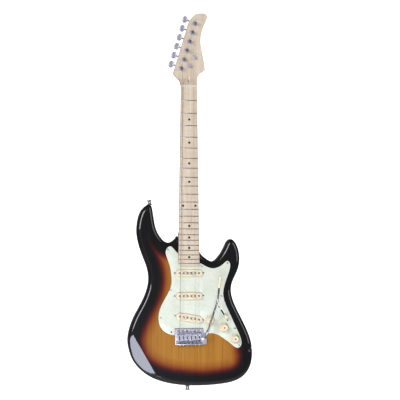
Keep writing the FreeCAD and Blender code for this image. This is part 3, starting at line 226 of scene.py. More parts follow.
GUARD_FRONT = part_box("pickguard")[0].y
MAT = {
    "burst": burst_material(),
    "maple": maple_material(),
    "guard": guard_material(GUARD_FRONT),
    "string": string_material(),
    "cavity": plain("shielding_paint", (0.006, 0.006, 0.007), (0.012, 0.012, 0.013), (0.6, 0.8),
                    (200, 200, 200), 2e-5),
    "walnut": plain("walnut", (0.055, 0.025, 0.012), (0.12, 0.058, 0.028), (0.35, 0.5), (300, 300, 9), 2e-5),
    "nickel": plain("nickel_silver", (0.36, 0.34, 0.31), (0.52, 0.50, 0.46), (0.22, 0.34),
                    (90, 90, 90), Metallic=1.0),
    "chrome": plain("chrome_plate", (0.60, 0.60, 0.66), (0.72, 0.72, 0.77), (0.06, 0.13),
                    (50, 50, 50), Metallic=1.0),
    "satin": plain("satin_plate", (0.52, 0.52, 0.60), (0.62, 0.62, 0.71), (0.24, 0.34),
                   (80, 80, 80), Metallic=0.45),
    "rod": plain("plated_rod", (0.34, 0.34, 0.37), (0.44, 0.44, 0.48), (0.10, 0.18),
                 (60, 60, 60), Metallic=1.0),
    "steel": plain("plain_steel", (0.30, 0.30, 0.31), (0.45, 0.45, 0.46), (0.28, 0.42), (120, 120, 120), 1e-5,
                   Metallic=1.0),
    "zinc": plain("cast_zinc", (0.16, 0.16, 0.165), (0.26, 0.26, 0.27), (0.45, 0.6), (150, 150, 150), 3e-5,
                  Metallic=1.0),
    "magnet": plain("ground_magnet", (0.20, 0.19, 0.19), (0.34, 0.33, 0.33), (0.3, 0.5),
                    (700, 700, 700), 1e-5,
                    Metallic=1.0),
    "cream": plain("cream_plastic", (0.86, 0.74, 0.50), (0.93, 0.82, 0.59), (0.25, 0.38), (60, 60, 60), 1e-5,
                   Coat_Weight=0.2, Coat_Roughness=0.1),
    "bone": plain("nut_bone", (0.72, 0.70, 0.62), (0.85, 0.83, 0.76), (0.25, 0.4), (300, 300, 60), 1e-5),
    "black": plain("black_inlay", (0.004, 0.004, 0.004), (0.010, 0.010, 0.010), (0.25, 0.4), (200, 200, 200)),
    "fibre": plain("pressed_fibre", (0.012, 0.012, 0.012), (0.03, 0.03, 0.03), (0.6, 0.8),
                   (500, 500, 500), 3e-5),
    "coil": plain("enamelled_wire", (0.10, 0.03, 0.012), (0.20, 0.07, 0.02), (0.25, 0.45),
                  (60, 60, 900), 4e-5),
    "rubber": plain("pale_rubber", (0.30, 0.25, 0.16), (0.40, 0.34, 0.24), (0.6, 0.8), (300, 300, 300), 3e-5),
    "felt": plain("black_felt", (0.008, 0.008, 0.009), (0.03, 0.03, 0.032), (0.85, 0.98),
                  (1500, 1500, 1500), 1e-4,
                  Sheen_Weight=0.4),
    "lever": plain("black_oxide", (0.02, 0.02, 0.022), (0.05, 0.05, 0.052), (0.25, 0.4), (200, 200, 200),
                   Metallic=1.0),
}


# ---------------------------------------------------------------- mesh helpers
def islands(name):
    """Points of each separate solid of a CAD node, one array for each, in metres."""
    bm = bmesh.new()
    bm.from_mesh(frame["nodes"][name].data)
    bmesh.ops.remove_doubles(bm, verts=bm.verts, dist=1e-7)
    seen = set()
    found = []
    for start in bm.verts:
        if start.index in seen:
            continue
        seen.add(start.index)
        stack = [start]
        points = []
        while stack:
            vertex = stack.pop()
            points.append(vertex.co[:])
            for edge in vertex.link_edges:
                other = edge.other_vert(vertex)
                if other.index not in seen:
                    seen.add(other.index)
                    stack.append(other)
        found.append(np.array(points))
    bm.free()
    return found


def piece(name, vertices, faces, body, slot, material, replaces=(), angle=35.0):
    """A mesh object that rides on a body."""
    mesh = bpy.data.meshes.new(name)
    mesh.from_pydata([tuple(v) for v in vertices], [], faces)
    bm = bmesh.new()
    bm.from_mesh(mesh)
    bmesh.ops.remove_doubles(bm, verts=bm.verts, dist=1e-7)
    bmesh.ops.recalc_face_normals(bm, faces=bm.faces)
    bm.to_mesh(mesh)
    bm.free()
    mesh.polygons.foreach_set("use_smooth", [True] * len(mesh.polygons))
    mesh.set_sharp_from_angle(angle=math.radians(angle))
    obj = bpy.data.objects.new(name, mesh)
    bpy.context.scene.collection.objects.link(obj)
    mesh.materials.append(material)
    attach(obj, body)
    if replaces:
        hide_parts(*replaces)
    return obj


def dress(name, material, bevel=0.0, segments=2, angle=40.0):
    """Gives a CAD node its material, smooth shading and, if asked, rounded edges."""
    obj = frame["nodes"][name]
    mesh = obj.data
    mesh.materials.clear()
    mesh.materials.append(material)
    mesh.polygons.foreach_set("use_smooth", [True] * len(mesh.polygons))
    weld = obj.modifiers.new("weld", "WELD")
    weld.merge_threshold = 1e-6
    if bevel:
        rounding = obj.modifiers.new("rounding", "BEVEL")
        rounding.width = bevel
        rounding.segments = segments
        rounding.limit_method = "ANGLE"
        rounding.angle_limit = math.radians(angle)
    split = obj.modifiers.new("edges", "EDGE_SPLIT")
    split.split_angle = math.radians(35.0)
    return obj


def rings(loops, close=True):
    """Faces between loops of equal length, and the indices they use."""
    faces = []
    count = len(loops[0])
    for i in range(len(loops) - 1):
        for j in range(count if close else count - 1):
            k = (j + 1) % count
            faces.append((i * count + j, i * count + k, (i + 1) * count + k, (i + 1) * count + j))
    return [p for loop in loops for p in loop], faces


def skin(loops):
    """Closed mesh through rings, capped at both ends."""
    vertices, faces = rings(loops)
    count = len(loops[0])
    faces.append(tuple(range(count)))
    faces.append(tuple(range(len(vertices) - count, len(vertices))))
    return vertices, faces


def tube(points, radius, sides=12):
    """Round tube along points."""
    points = [Vector(p) for p in points]
    loops = []
    side = None
    for i, p in enumerate(points):
        ahead = points[min(i + 1, len(points) - 1)] - points[max(i - 1, 0)]
        ahead.normalize()
        if side is None:
            side = ahead.orthogonal()
        side = (side - ahead * side.dot(ahead)).normalized()
        up = ahead.cross(side)
        r = radius(i / (len(points) - 1.0)) if callable(radius) else radius
        loops.append([p + (side * math.cos(a) + up * math.sin(a)) * r
                      for a in (2 * math.pi * k / sides for k in range(sides))])
    return skin(loops)


def merged(parts):
    """Several (vertices, faces) as one."""
    vertices, faces = [], []
    for part_vertices, part_faces in parts:
        base = len(vertices)
        vertices += [tuple(v) for v in part_vertices]
        faces += [tuple(i + base for i in face) for face in part_faces]
    return vertices, faces


def smooth_path(points, per_span=10):
    """Points of a smooth curve through the given ones."""
    p = [Vector(q) for q in points]
    p = [p[0] * 2 - p[1]] + p + [p[-1] * 2 - p[-2]]
    path = []
    for i in range(1, len(p) - 2):
        for k in range(per_span):
            t = k / per_span
            path.append(0.5 * (2 * p[i] + (p[i + 1] - p[i - 1]) * t
                               + (2 * p[i - 1] - 5 * p[i] + 4 * p[i + 1] - p[i + 2]) * t * t
                               + (3 * p[i] - p[i - 1] - 3 * p[i + 1] + p[i + 2]) * t ** 3))
    return path + [p[-2]]


# ---------------------------------------------------------------- body
ROUND = 0.012
FACET_ROUND = 0.0045
FACE_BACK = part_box("body")[1].y
HEEL_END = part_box("neck")[0].z + 0.009
CREASE = (Vector((-0.1517, 0.0, HEEL_END - 0.1793)), Vector((-0.0817, 0.0, HEEL_END - 0.3013)))
BEVEL_SLOPE = 8.5 / 30.0
BELLY_ARC = ((-0.125, 0.119), (-0.066, 0.004), (-0.125, -0.111))
BELLY_SINK = 0.014
BELLY_REACH = 0.040
POCKET_DEPTH = 0.0159
RIM_LEVEL = 0.0096
RIM_STEP = 0.0015
VOXEL = 0.0026


def section(level):
    """Longest closed outline of the CAD body at a depth, as ordered (x, z) points."""
    bm = bmesh.new()
    bm.from_mesh(frame["nodes"]["body"].data)
    bmesh.ops.remove_doubles(bm, verts=bm.verts, dist=1e-6)
    geometry = bm.verts[:] + bm.edges[:] + bm.faces[:]
    cut = bmesh.ops.bisect_plane(bm, geom=geometry, plane_co=(0, level, 0), plane_no=(0, 1, 0))["geom_cut"]
    links = {}
    for edge in [g for g in cut if isinstance(g, bmesh.types.BMEdge)]:
        a, b = edge.verts
        links.setdefault(a.index, []).append(b.index)
        links.setdefault(b.index, []).append(a.index)
    bm.verts.ensure_lookup_table()
    loops = []
    left = set(links)
    while left:
        start = left.pop()
        loop = [start]
        while True:
            onward = [v for v in links[loop[-1]] if v in left]
            if not onward:
                break
            left.remove(onward[0])
            loop.append(onward[0])
        loops.append([(bm.verts[i].co.x, bm.verts[i].co.z) for i in loop])
    bm.free()
    return max(loops, key=lambda loop: max(p[0] for p in loop) - min(p[0] for p in loop) + 1e-4 * len(loop))


def resampled(loop, step):
    """The closed outline with evenly spaced points."""
    points = np.array(loop + loop[:1])
    lengths = np.concatenate(([0.0], np.cumsum(np.hypot(*np.diff(points, axis=0).T))))
    places = np.linspace(0.0, lengths[-1], int(lengths[-1] / step), endpoint=False)
    return np.stack([np.interp(places, lengths, points[:, k]) for k in (0, 1)], axis=1)


def area(loop):
    x, z = np.array(loop).T
    return 0.5 * float(np.sum(x * np.roll(z, -1) - np.roll(x, -1) * z))


outline = [p for p in section(RIM_LEVEL) if not (abs(p[0]) < 0.0295 and p[1] > HEEL_END - 0.002)]
outline = resampled(outline, RIM_STEP)
if area(outline) < 0:
    outline = outline[::-1]
WALL = BVHTree.FromPolygons(
    [(x, y, z) for x, z in outline for y in (-1.0, 1.0)],
    [(2 * i, 2 * i + 1, (2 * i + 3) % (2 * len(outline)), (2 * i + 2) % (2 * len(outline)))
     for i in range(len(outline))])
onward = np.roll(outline, -1, 0)
EDGE_OUT = np.stack([onward[:, 1] - outline[:, 1], outline[:, 0] - onward[:, 0]], 1)
EDGE_OUT /= np.linalg.norm(EDGE_OUT, axis=1)[:, None]


def rim_distance(points):
    """Signed distance to the body's outline, negative inside, and the direction it grows in."""
    distances = np.empty(len(points))
    outward = np.zeros((len(points), 3))
    for i, p in enumerate(points):
        place, _, index, gap = WALL.find_nearest((p[0], 0.0, p[2]))
        normal = EDGE_OUT[index]
        side = (p[0] - place.x) * normal[0] + (p[2] - place.z) * normal[1]
        distances[i] = math.copysign(gap, side)
        outward[i, 0] = normal[0]
        outward[i, 2] = normal[1]
    return distances, outward


crease_run = (CREASE[1] - CREASE[0]).normalized()
crease_out = Vector((crease_run.z, 0.0, -crease_run.x))


def belly_ball():
    """Centre and radius of the ball that hollows the back."""
    (x0, z0), (x1, z1), _ = BELLY_ARC
    radius = ((z0 - z1) ** 2 + (x0 - x1) ** 2) / (2.0 * (x1 - x0))
    inner = radius - BELLY_REACH
    rise = (radius ** 2 - inner ** 2 - BELLY_SINK ** 2) / (2.0 * BELLY_SINK)
    return np.array((x1 - radius, FACE_BACK + rise, HEEL_END + z1)), math.hypot(radius, rise)


BALL, BALL_RADIUS = belly_ball()


def project(points):
    """Moves points onto the rounded, contoured body."""
    p = points.copy()
    for _ in range(5):
        d, outward = rim_distance(p)
        past = (p[:, 0] - CREASE[0].x) * crease_out.x + (p[:, 2] - CREASE[0].z) * crease_out.z
        slope = np.where(past > 0, BEVEL_SLOPE, 0.0)
        front_gap = (np.maximum(past, 0) * BEVEL_SLOPE - p[:, 1]) / np.hypot(1.0, slope)
        front_way = np.stack([slope * crease_out.x, -np.ones(len(p)), slope * crease_out.z], 1)
        front_way /= np.linalg.norm(front_way, axis=1)[:, None]
        from_ball = p - BALL
        reach = np.linalg.norm(from_ball, axis=1)
        ball_gap = BALL_RADIUS - reach
        ball_way = -from_ball / reach[:, None]
        flat_gap = p[:, 1] - FACE_BACK
        hollow = ball_gap > flat_gap
        back_gap = np.where(hollow, ball_gap, flat_gap)
        back_way = np.where(hollow[:, None], ball_way, np.array((0.0, 1.0, 0.0)))
        is_front = front_gap > back_gap
        v = np.where(is_front, front_gap, back_gap)
        way = np.where(is_front[:, None], front_way, back_way)
        tight = np.where(is_front, np.clip(past / 0.010, 0.0, 1.0), 0.0)
        radius = ROUND + (FACET_ROUND - ROUND) * tight
        qx = d + radius
        qy = v + radius
        corner = (qx > 0) & (qy > 0)
        size = np.maximum(np.hypot(qx, qy), 1e-9)
        f = np.where(corner, size, np.maximum(qx, qy)) - radius
        grad = np.where(corner[:, None], (outward * (qx / size)[:, None] + way * (qy / size)[:, None]),
                        np.where((qx > qy)[:, None], outward, way))
        p -= grad * f[:, None]
    return p


def cutter(name, vertices, faces):
    mesh = bpy.data.meshes.new(name)
    mesh.from_pydata([tuple(v) for v in vertices], [], faces)
    bm = bmesh.new()
    bm.from_mesh(mesh)
    bmesh.ops.recalc_face_normals(bm, faces=bm.faces)
    bm.to_mesh(mesh)
    bm.free()
    obj = bpy.data.objects.new(name, mesh)
    bpy.context.scene.collection.objects.link(obj)
    return obj


def block(x0, x1, y0, y1, z0, z1, tilt=0.0, centre=(0.0, 0.0)):
    """Box, turned about Y round a centre."""
    corners = [(x, z) for x, z in ((x0, z0), (x1, z0), (x1, z1), (x0, z1))]
    turned = [(centre[0] + x * math.cos(tilt) + z * math.sin(tilt),
               centre[1] - x * math.sin(tilt) + z * math.cos(tilt))
              for x, z in corners]
    return skin([[(x, y, z) for x, z in turned] for y in (y0, y1)])


def column(x, z, radius, y0, y1, sides=40):
    angles = [2 * math.pi * k / sides for k in range(sides)]
    return skin([[(x + radius * math.cos(a), y, z + radius * math.sin(a)) for a in angles] for y in (y0, y1)])


def body_cutters():
    """Pockets of the body, from the CAD parts that sit in them."""
    parts = []
    half = max(abs(v.co.x) for v in frame["nodes"]["neck"].data.vertices
               if abs(v.co.z - HEEL_END) < 0.002 and v.co.y > 0.004) + 0.0003
    parts.append(block(-half, half, -0.01, POCKET_DEPTH, HEEL_END - 0.0003, HEEL_END + 0.12))
    parts.append(block(half - 0.004, half + 0.03, -0.01, POCKET_DEPTH, HEEL_END + 0.030, HEEL_END + 0.12))
    low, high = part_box("pickup_bobbins")
    parts.append(block(low.x - 0.001, high.x + 0.001, -0.01, 0.019, low.z - 0.002, high.z + 0.002))
    for points in islands("potentiometers"):
        low, high = points.min(0), points.max(0)
        parts.append(column((low[0] + high[0]) / 2, (low[2] + high[2]) / 2, 0.0132, -0.01, 0.034))
    low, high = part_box("selector_switch")
    parts.append(block(-0.025, 0.025, -0.01, 0.034, -0.0085, 0.0085, math.radians(57.0),
                       ((low.x + high.x) / 2, (low.z + high.z) / 2)))
    low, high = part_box("inertia_block")
    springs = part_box("spring_claw")
    parts.append(block(low.x - 0.002, high.x + 0.002, -0.01, 0.06, low.z - 0.014, high.z + 0.004))
    parts.append(block(-0.034, 0.034, FACE_BACK - 0.0165, 0.06, low.z - 0.014, springs[1].z + 0.018))
    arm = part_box("bridge_plate")
    parts.append(block(high.x - 0.001, high.x + 0.0145, -0.01, 0.0125, arm[0].z + 0.006, arm[0].z + 0.027))
    low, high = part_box("jack_plate")
    centre = (low + high) / 2
    circle = [2 * math.pi * k / 48 for k in range(48)]
    parts.append(skin([[(x, centre.y + 0.0132 * math.cos(a), centre.z + 0.0132 * math.sin(a)) for a in circle]
                       for x in (low.x, low.x + 0.03)]))
    return parts


def make_body():
    """Body skin: outline slab, voxel mesh, projected onto the rounded form, then its pockets cut."""
    slab = piece("body_shell", *skin([[(x, y, z) for x, z in outline] for y in (0.0005, FACE_BACK - 0.0005)]),
                 "guitar", "sunburst_body", MAT["burst"], ("body",))
    remesh = slab.modifiers.new("voxels", "REMESH")
    remesh.mode = "VOXEL"
    remesh.voxel_size = VOXEL
    evaluated = slab.evaluated_get(bpy.context.evaluated_depsgraph_get())
    mesh = bpy.data.meshes.new_from_object(evaluated)
    slab.modifiers.clear()
    bm = bmesh.new()
    bm.from_mesh(mesh)
    normal = crease_out
    geometry = bm.verts[:] + bm.edges[:] + bm.faces[:]
    bmesh.ops.bisect_plane(bm, geom=geometry, plane_co=CREASE[0], plane_no=normal)
    bm.to_mesh(mesh)
    bm.free()
    points = np.array([v.co[:] for v in mesh.vertices])
    on_crease = np.abs((points - np.array(CREASE[0])) @ np.array(normal)) < 2e-5
    points = project(points)
    mesh.vertices.foreach_set("co", points.ravel())
    sharp = {e.key for e in mesh.edges
             if on_crease[e.vertices[0]] and on_crease[e.vertices[1]]
             and max(points[e.vertices[0], 1], points[e.vertices[1], 1]) < 0.001}
    mesh.polygons.foreach_set("use_smooth", [True] * len(mesh.polygons))
    attribute = mesh.attributes.new("sharp_edge", "BOOLEAN", "EDGE")
    attribute.data.foreach_set("value", [e.key in sharp for e in mesh.edges])
    slab.data = mesh
    tool = cutter("body_cutters", *merged(body_cutters()))
    cut = slab.modifiers.new("pockets", "BOOLEAN")
    cut.operation = "DIFFERENCE"
    cut.object = tool
    cut.solver = "EXACT"
    cut.use_self = True
    evaluated = slab.evaluated_get(bpy.context.evaluated_depsgraph_get())
    mesh = bpy.data.meshes.new_from_object(evaluated)
    slab.modifiers.clear()
    slab.data = mesh
    bpy.data.objects.remove(tool)
    mesh.materials.clear()
    mesh.materials.append(MAT["burst"])
    mesh.materials.append(MAT["cavity"])
    points = np.array([v.co[:] for v in mesh.vertices])
    rim = -rim_distance(points)[0]
    mesh.attributes.new("rim", "FLOAT", "POINT").data.foreach_set("value", np.maximum(rim, 0.0))
    moved = np.linalg.norm(project(points) - points, axis=1)
    skin_point = moved < 2e-4
    inner = [not all(skin_point[i] for i in polygon.vertices) for polygon in mesh.polygons]
    mesh.polygons.foreach_set("material_index", [int(flag) for flag in inner])
    flag = {}
    for polygon, inside in zip(mesh.polygons, inner):
        for key in polygon.edge_keys:
            flag.setdefault(key, set()).add(inside)
    edge_sharp = mesh.attributes.get("sharp_edge") or mesh.attributes.new("sharp_edge", "BOOLEAN", "EDGE")
    values = np.zeros(len(mesh.edges), bool)
    edge_sharp.data.foreach_get("value", values)
    for i, edge in enumerate(mesh.edges):
        kinds = flag.get(edge.key, set())
        if len(kinds) == 2:
            values[i] = True
    edge_sharp.data.foreach_set("value", values)
    mesh.polygons.foreach_set("use_smooth", [not inside for inside in inner])
    return slab


# ---------------------------------------------------------------- screws
def screw(points, recess=0.55):
    """Screw with a domed head and a cross recess, in the place of a CAD screw."""
    centre = points.mean(0)
    axis = np.linalg.svd(points - centre, full_matrices=False)[2][0]
    t = (points - centre) @ axis
    r = np.linalg.norm(points - centre - np.outer(t, axis), axis=1)
    if t[r.argmax()] < (t.min() + t.max()) / 2:
        axis, t = -axis, -t
    head = r.max()
    seat = t[r > head * 0.98].min()
    rise = t.max() - seat
    shank = r[t < t.min() + 1e-5].max()
    up = Vector(axis)
    side = up.orthogonal().normalized()
    other = up.cross(side)
    origin = Vector(centre)
    angles = [2 * math.pi * k / 64 for k in range(64)]

    def place(x, y, height):
        return origin + side * x + other * y + up * height

    def top(x, y):
        share = math.hypot(x, y) / head
        height = rise * (1.0 - share ** 2.6)
        arm = min(max(abs(x) - 0.11 * head, abs(y) - 0.55 * head),
                  max(abs(y) - 0.11 * head, abs(x) - 0.55 * head))
        depth = min(1.0, max(0.0, -arm / (0.07 * head)))
        return seat + height - depth * recess * head * (1.0 - 0.7 * share)

    loops = [[place(shank * math.cos(a), shank * math.sin(a), h) for a in angles] for h in (t.min(), seat)]
    loops.append([place(head * math.cos(a), head * math.sin(a), seat) for a in angles])
    for share in (0.97, 0.9, 0.8, 0.7, 0.62, 0.56, 0.5, 0.42, 0.34, 0.26, 0.2, 0.15, 0.1, 0.05):
        ring = [(share * head * math.cos(a), share * head * math.sin(a)) for a in angles]
        loops.append([place(x, y, top(x, y)) for x, y in ring])
    return skin(loops)


def make_screws():
    for name, slot in (("cover_screws", "chrome"), ("pickup_screws", "chrome"), ("pivot_screws", "chrome"),
                       ("headstock_screws", "chrome"), ("body_screws", "steel"), ("claw_screws", "steel")):
        solids = [screw(points) for points in islands(name)]
        piece(name + "_cross", *merged(solids), "guitar", slot, MAT["chrome"], (name,), 30.0)
    solids = [screw(points) for points in islands("block_screws")]
    piece("block_screws_cross", *merged(solids), "bridge", "steel", MAT["steel"], ("block_screws",), 30.0)


# ---------------------------------------------------------------- knobs, buttons, arm
def knob(name, marks):
    """Skirted knob with a fluted grip, generic marks round its skirt and a pointer on top."""
    low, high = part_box(name)
    solids = islands(name)
    cap = max(solids, key=lambda points: np.ptp(points[:, 0]))
    lo, hi = cap.min(0), cap.max(0)
    x, z = (lo[0] + hi[0]) / 2, (lo[2] + hi[2]) / 2
    skirt, tip = hi[1], lo[1]
    wide = (hi[0] - lo[0]) / 2
    grip = wide * 0.67
    count = 144

    def ring(radius, y, flute=0.0):
        points = []
        for k in range(count):
            a = 2 * math.pi * k / count
            r = radius - flute * (0.5 + 0.5 * math.cos(24 * a))
            points.append((x + r * math.cos(a), y, z + r * math.sin(a)))
        return points

    waist = skirt - 4.4 * MM
    loops = [ring(wide - 1.0 * MM, skirt), ring(wide - 0.2 * MM, skirt - 0.15 * MM),
             ring(wide, skirt - 0.6 * MM),
             ring(wide - 0.15 * MM, skirt - 1.15 * MM), ring(wide - 0.6 * MM, skirt - 1.5 * MM),
             ring(grip + 1.6 * MM, waist + 0.5 * MM), ring(grip + 0.9 * MM, waist, 0.1 * MM),
             ring(grip + 0.4 * MM, waist - 0.8 * MM, 0.6 * MM),
             ring(grip + 0.25 * MM, waist - 2.0 * MM, 0.7 * MM),
             ring(grip, tip + 1.6 * MM, 0.7 * MM), ring(grip - 0.35 * MM, tip + 0.6 * MM, 0.5 * MM),
             ring(grip - 1.2 * MM, tip + 0.05 * MM, 0.1 * MM), ring(grip - 1.9 * MM, tip),
             ring(grip - 2.4 * MM, tip + 0.35 * MM), ring(grip * 0.35, tip + 0.25 * MM),
             ring(0.0002, tip + 0.2 * MM)]
    body = name.replace("_knob", "")
    piece(name + "_cap", *skin(loops), body, "cream", MAT["cream"], (name,), 40.0)
    dark = []
    for k in range(marks):
        a = math.radians(125.0 + 290.0 * k / (marks - 1.0))
        along = Vector((math.cos(a), 0.0, math.sin(a)))
        across = Vector((-math.sin(a), 0.0, math.cos(a)))
        width = (0.5 if k % 5 else 0.7) * MM
        inner, outer = grip + 1.7 * MM, wide - 0.65 * MM
        slope = 2.4 * MM / (wide - grip - 2.2 * MM)
        loop = []
        for r, side in ((inner, -1), (outer, -1), (outer, 1), (inner, 1)):
            y = skirt - 1.5 * MM + slope * (r - (wide - 0.6 * MM))
            loop.append(Vector((x, y, z)) + along * r + across * side * width)
        dark.append(skin([[p + Vector((0, -0.12 * MM, 0)) for p in loop],
                          [p + Vector((0, 0.5 * MM, 0)) for p in loop]]))
    stamp = [(x + 1.5 * MM * math.cos(a), z + 2.3 * MM * math.sin(a))
             for a in (2 * math.pi * k / 32 for k in range(32))]
    dark.append(skin([[(px, tip + dy * MM, pz) for px, pz in stamp] for dy in (0.02, 0.6)]))
    piece(name + "_marks", *merged(dark), body, "black_dot", MAT["black"])


def tuner_button(number):
    """Oval button with a raised rim, its collar and shaft."""
    name = "tuner_button_%d" % number
    joint = [j for j in frame["joints"] if j["name"] == "tuner_%d_turn" % number][0]
    origin = Vector(joint["pos_m"])
    out = -Vector(joint["axis"]).normalized()
    up = Vector((0, 1, 0)).cross(out).normalized()
    thick = Vector((0, 1, 0))

    def loop(centre, width, height, y, power=2.3):
        points = []
        for k in range(48):
            a = 2 * math.pi * k / 48
            c, s = math.cos(a), math.sin(a)
            points.append(centre + out * width * math.copysign(abs(c) ** (2 / power), c)
                          + up * height * math.copysign(abs(s) ** (2 / power), s) + thick * y)
        return points

    middle = origin + out * 27.0 * MM
    half = [(0.05, 2.35), (0.35, 2.35), (0.62, 2.45), (0.72, 2.75), (0.79, 2.95),
            (0.88, 2.9), (0.95, 2.4), (1.0, 1.2)]
    steps = [(s, -y) for s, y in half] + [(s, y) for s, y in reversed(half)]
    button = skin([loop(middle, 6.9 * MM * s, 9.45 * MM * s, y * MM) for s, y in steps])

    def turned(profile):
        return skin([[origin + out * a * MM + (up * math.cos(t) + thick * math.sin(t)) * r * MM
                      for t in (2 * math.pi * k / 32 for k in range(32))] for a, r in profile])

    collar = turned([(9.2, 2.6), (9.4, 3.2), (10.4, 3.4), (12.4, 3.4), (13.2, 2.7), (15.4, 2.3),
                     (18.0, 2.5), (20.6, 3.1), (21.4, 2.0)])
    shaft = turned([(-6.5, 1.3), (-6.1, 1.85), (9.3, 1.85)])
    worm_path = [origin + out * (-4.6 + 9.2 * k / 120.0) * MM
                 + (up * math.cos(k * 0.42) + thick * math.sin(k * 0.42)) * 1.62 * MM for k in range(121)]
    piece(name + "_oval", *merged([button, collar, shaft, tube(worm_path, 0.36 * MM, 6)]),
          "tuner_%d" % number, "chrome", MAT["satin"], (name,), 50.0)


def post_wraps(number):
    """Turns of the string round its post."""
    low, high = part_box("string_post_%d" % number)
    joint = [j for j in frame["joints"] if j["name"] == "post_%d_turn" % number][0]
    x, z = joint["pos_m"][0], joint["pos_m"][2]
    radius = (0.53, 0.41, 0.32, 0.21, 0.165, 0.125)[number - 1] * MM
    turns = (2.2, 2.4, 2.8, 3.2, 3.5, 3.8)[number - 1]
    path = []
    steps = int(turns * 28)
    for k in range(steps + 1):
        a = 2 * math.pi * k / 28.0
        r = 2.58 * MM + radius
        path.append((x + r * math.cos(a), -6.9 * MM - radius - k / 28.0 * 2.15 * radius, z + r * math.sin(a)))
    piece("string_wraps_%d" % number, *tube(path, radius, 8), "post_%d" % number, "strings", MAT["string"])


def make_arm():
    """Vibrato arm: one smooth bent bar, and its tapered plastic tip."""
    low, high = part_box("bridge_plate")
    joint = [j for j in frame["joints"] if j["name"] == "arm_swivel"][0]
    x, z = joint["pos_m"][0], joint["pos_m"][2]
    route = [(0, 6.6, 0), (0, -6.0, 0), (0, -17.0, 0), (1.0, -23.6, 3.2), (3.6, -26.6, 12.0),
             (9.3, -28.6, 30.0), (16.6, -31.0, 54.0), (23.6, -33.4, 77.0), (28.4, -35.4, 93.0),
             (31.0, -37.2, 106.0), (33.0, -39.0, 127.0), (33.6, -39.5, 133.0)]
    path = smooth_path([(x + a * MM, b * MM, z + c * MM) for a, b, c in route])
    piece("vibrato_arm_bar", *tube(path, 2.45 * MM, 20), "arm", "chrome", MAT["rod"], ("vibrato_arm",), 50.0)
    start, end = Vector(path[-1]), Vector((x + 37.4 * MM, -42.4 * MM, z + 163.0 * MM))
    start = start - (end - start).normalized() * 2.0 * MM
    profile = ((0.0, 2.5), (0.01, 3.1), (0.05, 3.4), (0.35, 3.5), (0.75, 3.65), (0.9, 3.6), (0.96, 3.2),
               (1.0, 2.3), (1.02, 1.0), (1.025, 0.3))
    run = end - start
    side = run.orthogonal().normalized()
    other = run.normalized().cross(side)
    loops = [[start + run * s + (side * math.cos(a) + other * math.sin(a)) * r * MM
              for a in (2 * math.pi * k / 32 for k in range(32))] for s, r in profile]
    piece("arm_tip_cap", *skin(loops), "arm", "cream", MAT["cream"], ("arm_tip",), 50.0)


def make_springs():
    """Coils of the three vibrato springs with their hooks."""
    solids = []
    for points in islands("vibrato_springs"):
        lo, hi = points.min(0), points.max(0)
        x, y = (lo[0] + hi[0]) / 2, (lo[1] + hi[1]) / 2
        radius = (hi[0] - lo[0]) / 2 - 0.65 * MM
        low, high = lo[2] + 6.5 * MM, hi[2] - 5.5 * MM
        turns = int((high - low) / (1.75 * MM))
        steps = turns * 14
        path = [(x, y, lo[2]), (x, y, low - 1.6 * MM)]
        path += [(x + radius * math.cos(2 * math.pi * k / 14), y + radius * math.sin(2 * math.pi * k / 14),
                  low + (high - low) * k / steps) for k in range(steps + 1)]
        path += [(x, y, high + 1.6 * MM), (x, y, hi[2])]
        solids.append(tube(path, 0.6 * MM, 8))
    piece("vibrato_spring_coils", *merged(solids), "guitar", "steel", MAT["steel"],
          ("vibrato_springs",), 50.0)
    solids = []
    for points in islands("intonation_springs"):
        lo, hi = points.min(0), points.max(0)
        x, y = (lo[0] + hi[0]) / 2, (lo[1] + hi[1]) / 2
        radius = (hi[0] - lo[0]) / 2 - 0.36 * MM
        turns = max(3, int((hi[2] - lo[2]) / (1.1 * MM)))
        steps = turns * 16
        path = [(x + radius * math.cos(2 * math.pi * k / 16), y + radius * math.sin(2 * math.pi * k / 16),
                 lo[2] + 0.35 * MM + (hi[2] - lo[2] - 0.7 * MM) * k / steps) for k in range(steps + 1)]
        solids.append(tube(path, 0.34 * MM, 8))
    piece("intonation_coils", *merged(solids), "bridge", "steel", MAT["steel"], ("intonation_springs",), 50.0)


# ---------------------------------------------------------------- dressed CAD nodes
make_body()
make_screws()
for knob_name in ("volume_knob", "tone_1_knob", "tone_2_knob"):
    knob(knob_name, 11)
for tuner in range(1, 7):
    tuner_button(tuner)
    post_wraps(tuner)
    dress("string_post_%d" % tuner, MAT["steel"], 0.15 * MM)
make_arm()
make_springs()
dress("neck", MAT["maple"])
dress("neck_filler_strip", MAT["walnut"])
dress("truss_rod", MAT["steel"])
dress("nut", MAT["bone"])
dress("frets", MAT["nickel"])
dress("position_dots", MAT["black"])
dress("strings", MAT["string"])
dress("string_ends", MAT["string"])
dress("string_trees", MAT["satin"], 0.3 * MM)
dress("tuner_housings", MAT["chrome"], 0.7 * MM, 3)
dress("tuner_bushings", MAT["satin"], 0.2 * MM)
dress("pickguard", MAT["guard"], 0.5 * MM, 2)
dress("pickup_covers", MAT["cream"], 0.6 * MM, 3)
dress("pole_pieces", MAT["magnet"], 0.25 * MM)
dress("pickup_coils", MAT["coil"])
dress("pickup_bobbins", MAT["fibre"])
dress("pickup_tubes", MAT["rubber"])
dress("potentiometers", MAT["steel"], 0.3 * MM)
dress("panel_nuts", MAT["chrome"], 0.25 * MM)
dress("selector_switch", MAT["steel"])
dress("selector_lever", MAT["lever"], 0.3 * MM)
dress("selector_tip", MAT["cream"], 0.9 * MM, 3)
dress("bridge_plate", MAT["satin"], 0.35 * MM)
dress("inertia_block", MAT["zinc"], 0.5 * MM)
dress("saddles", MAT["satin"], 0.45 * MM, 3)
dress("saddle_screws", MAT["steel"], 0.15 * MM)
dress("spring_claw", MAT["steel"], 0.4 * MM)
dress("rear_cover", MAT["guard"], 0.5 * MM)
dress("neck_plate", MAT["chrome"], 0.5 * MM)
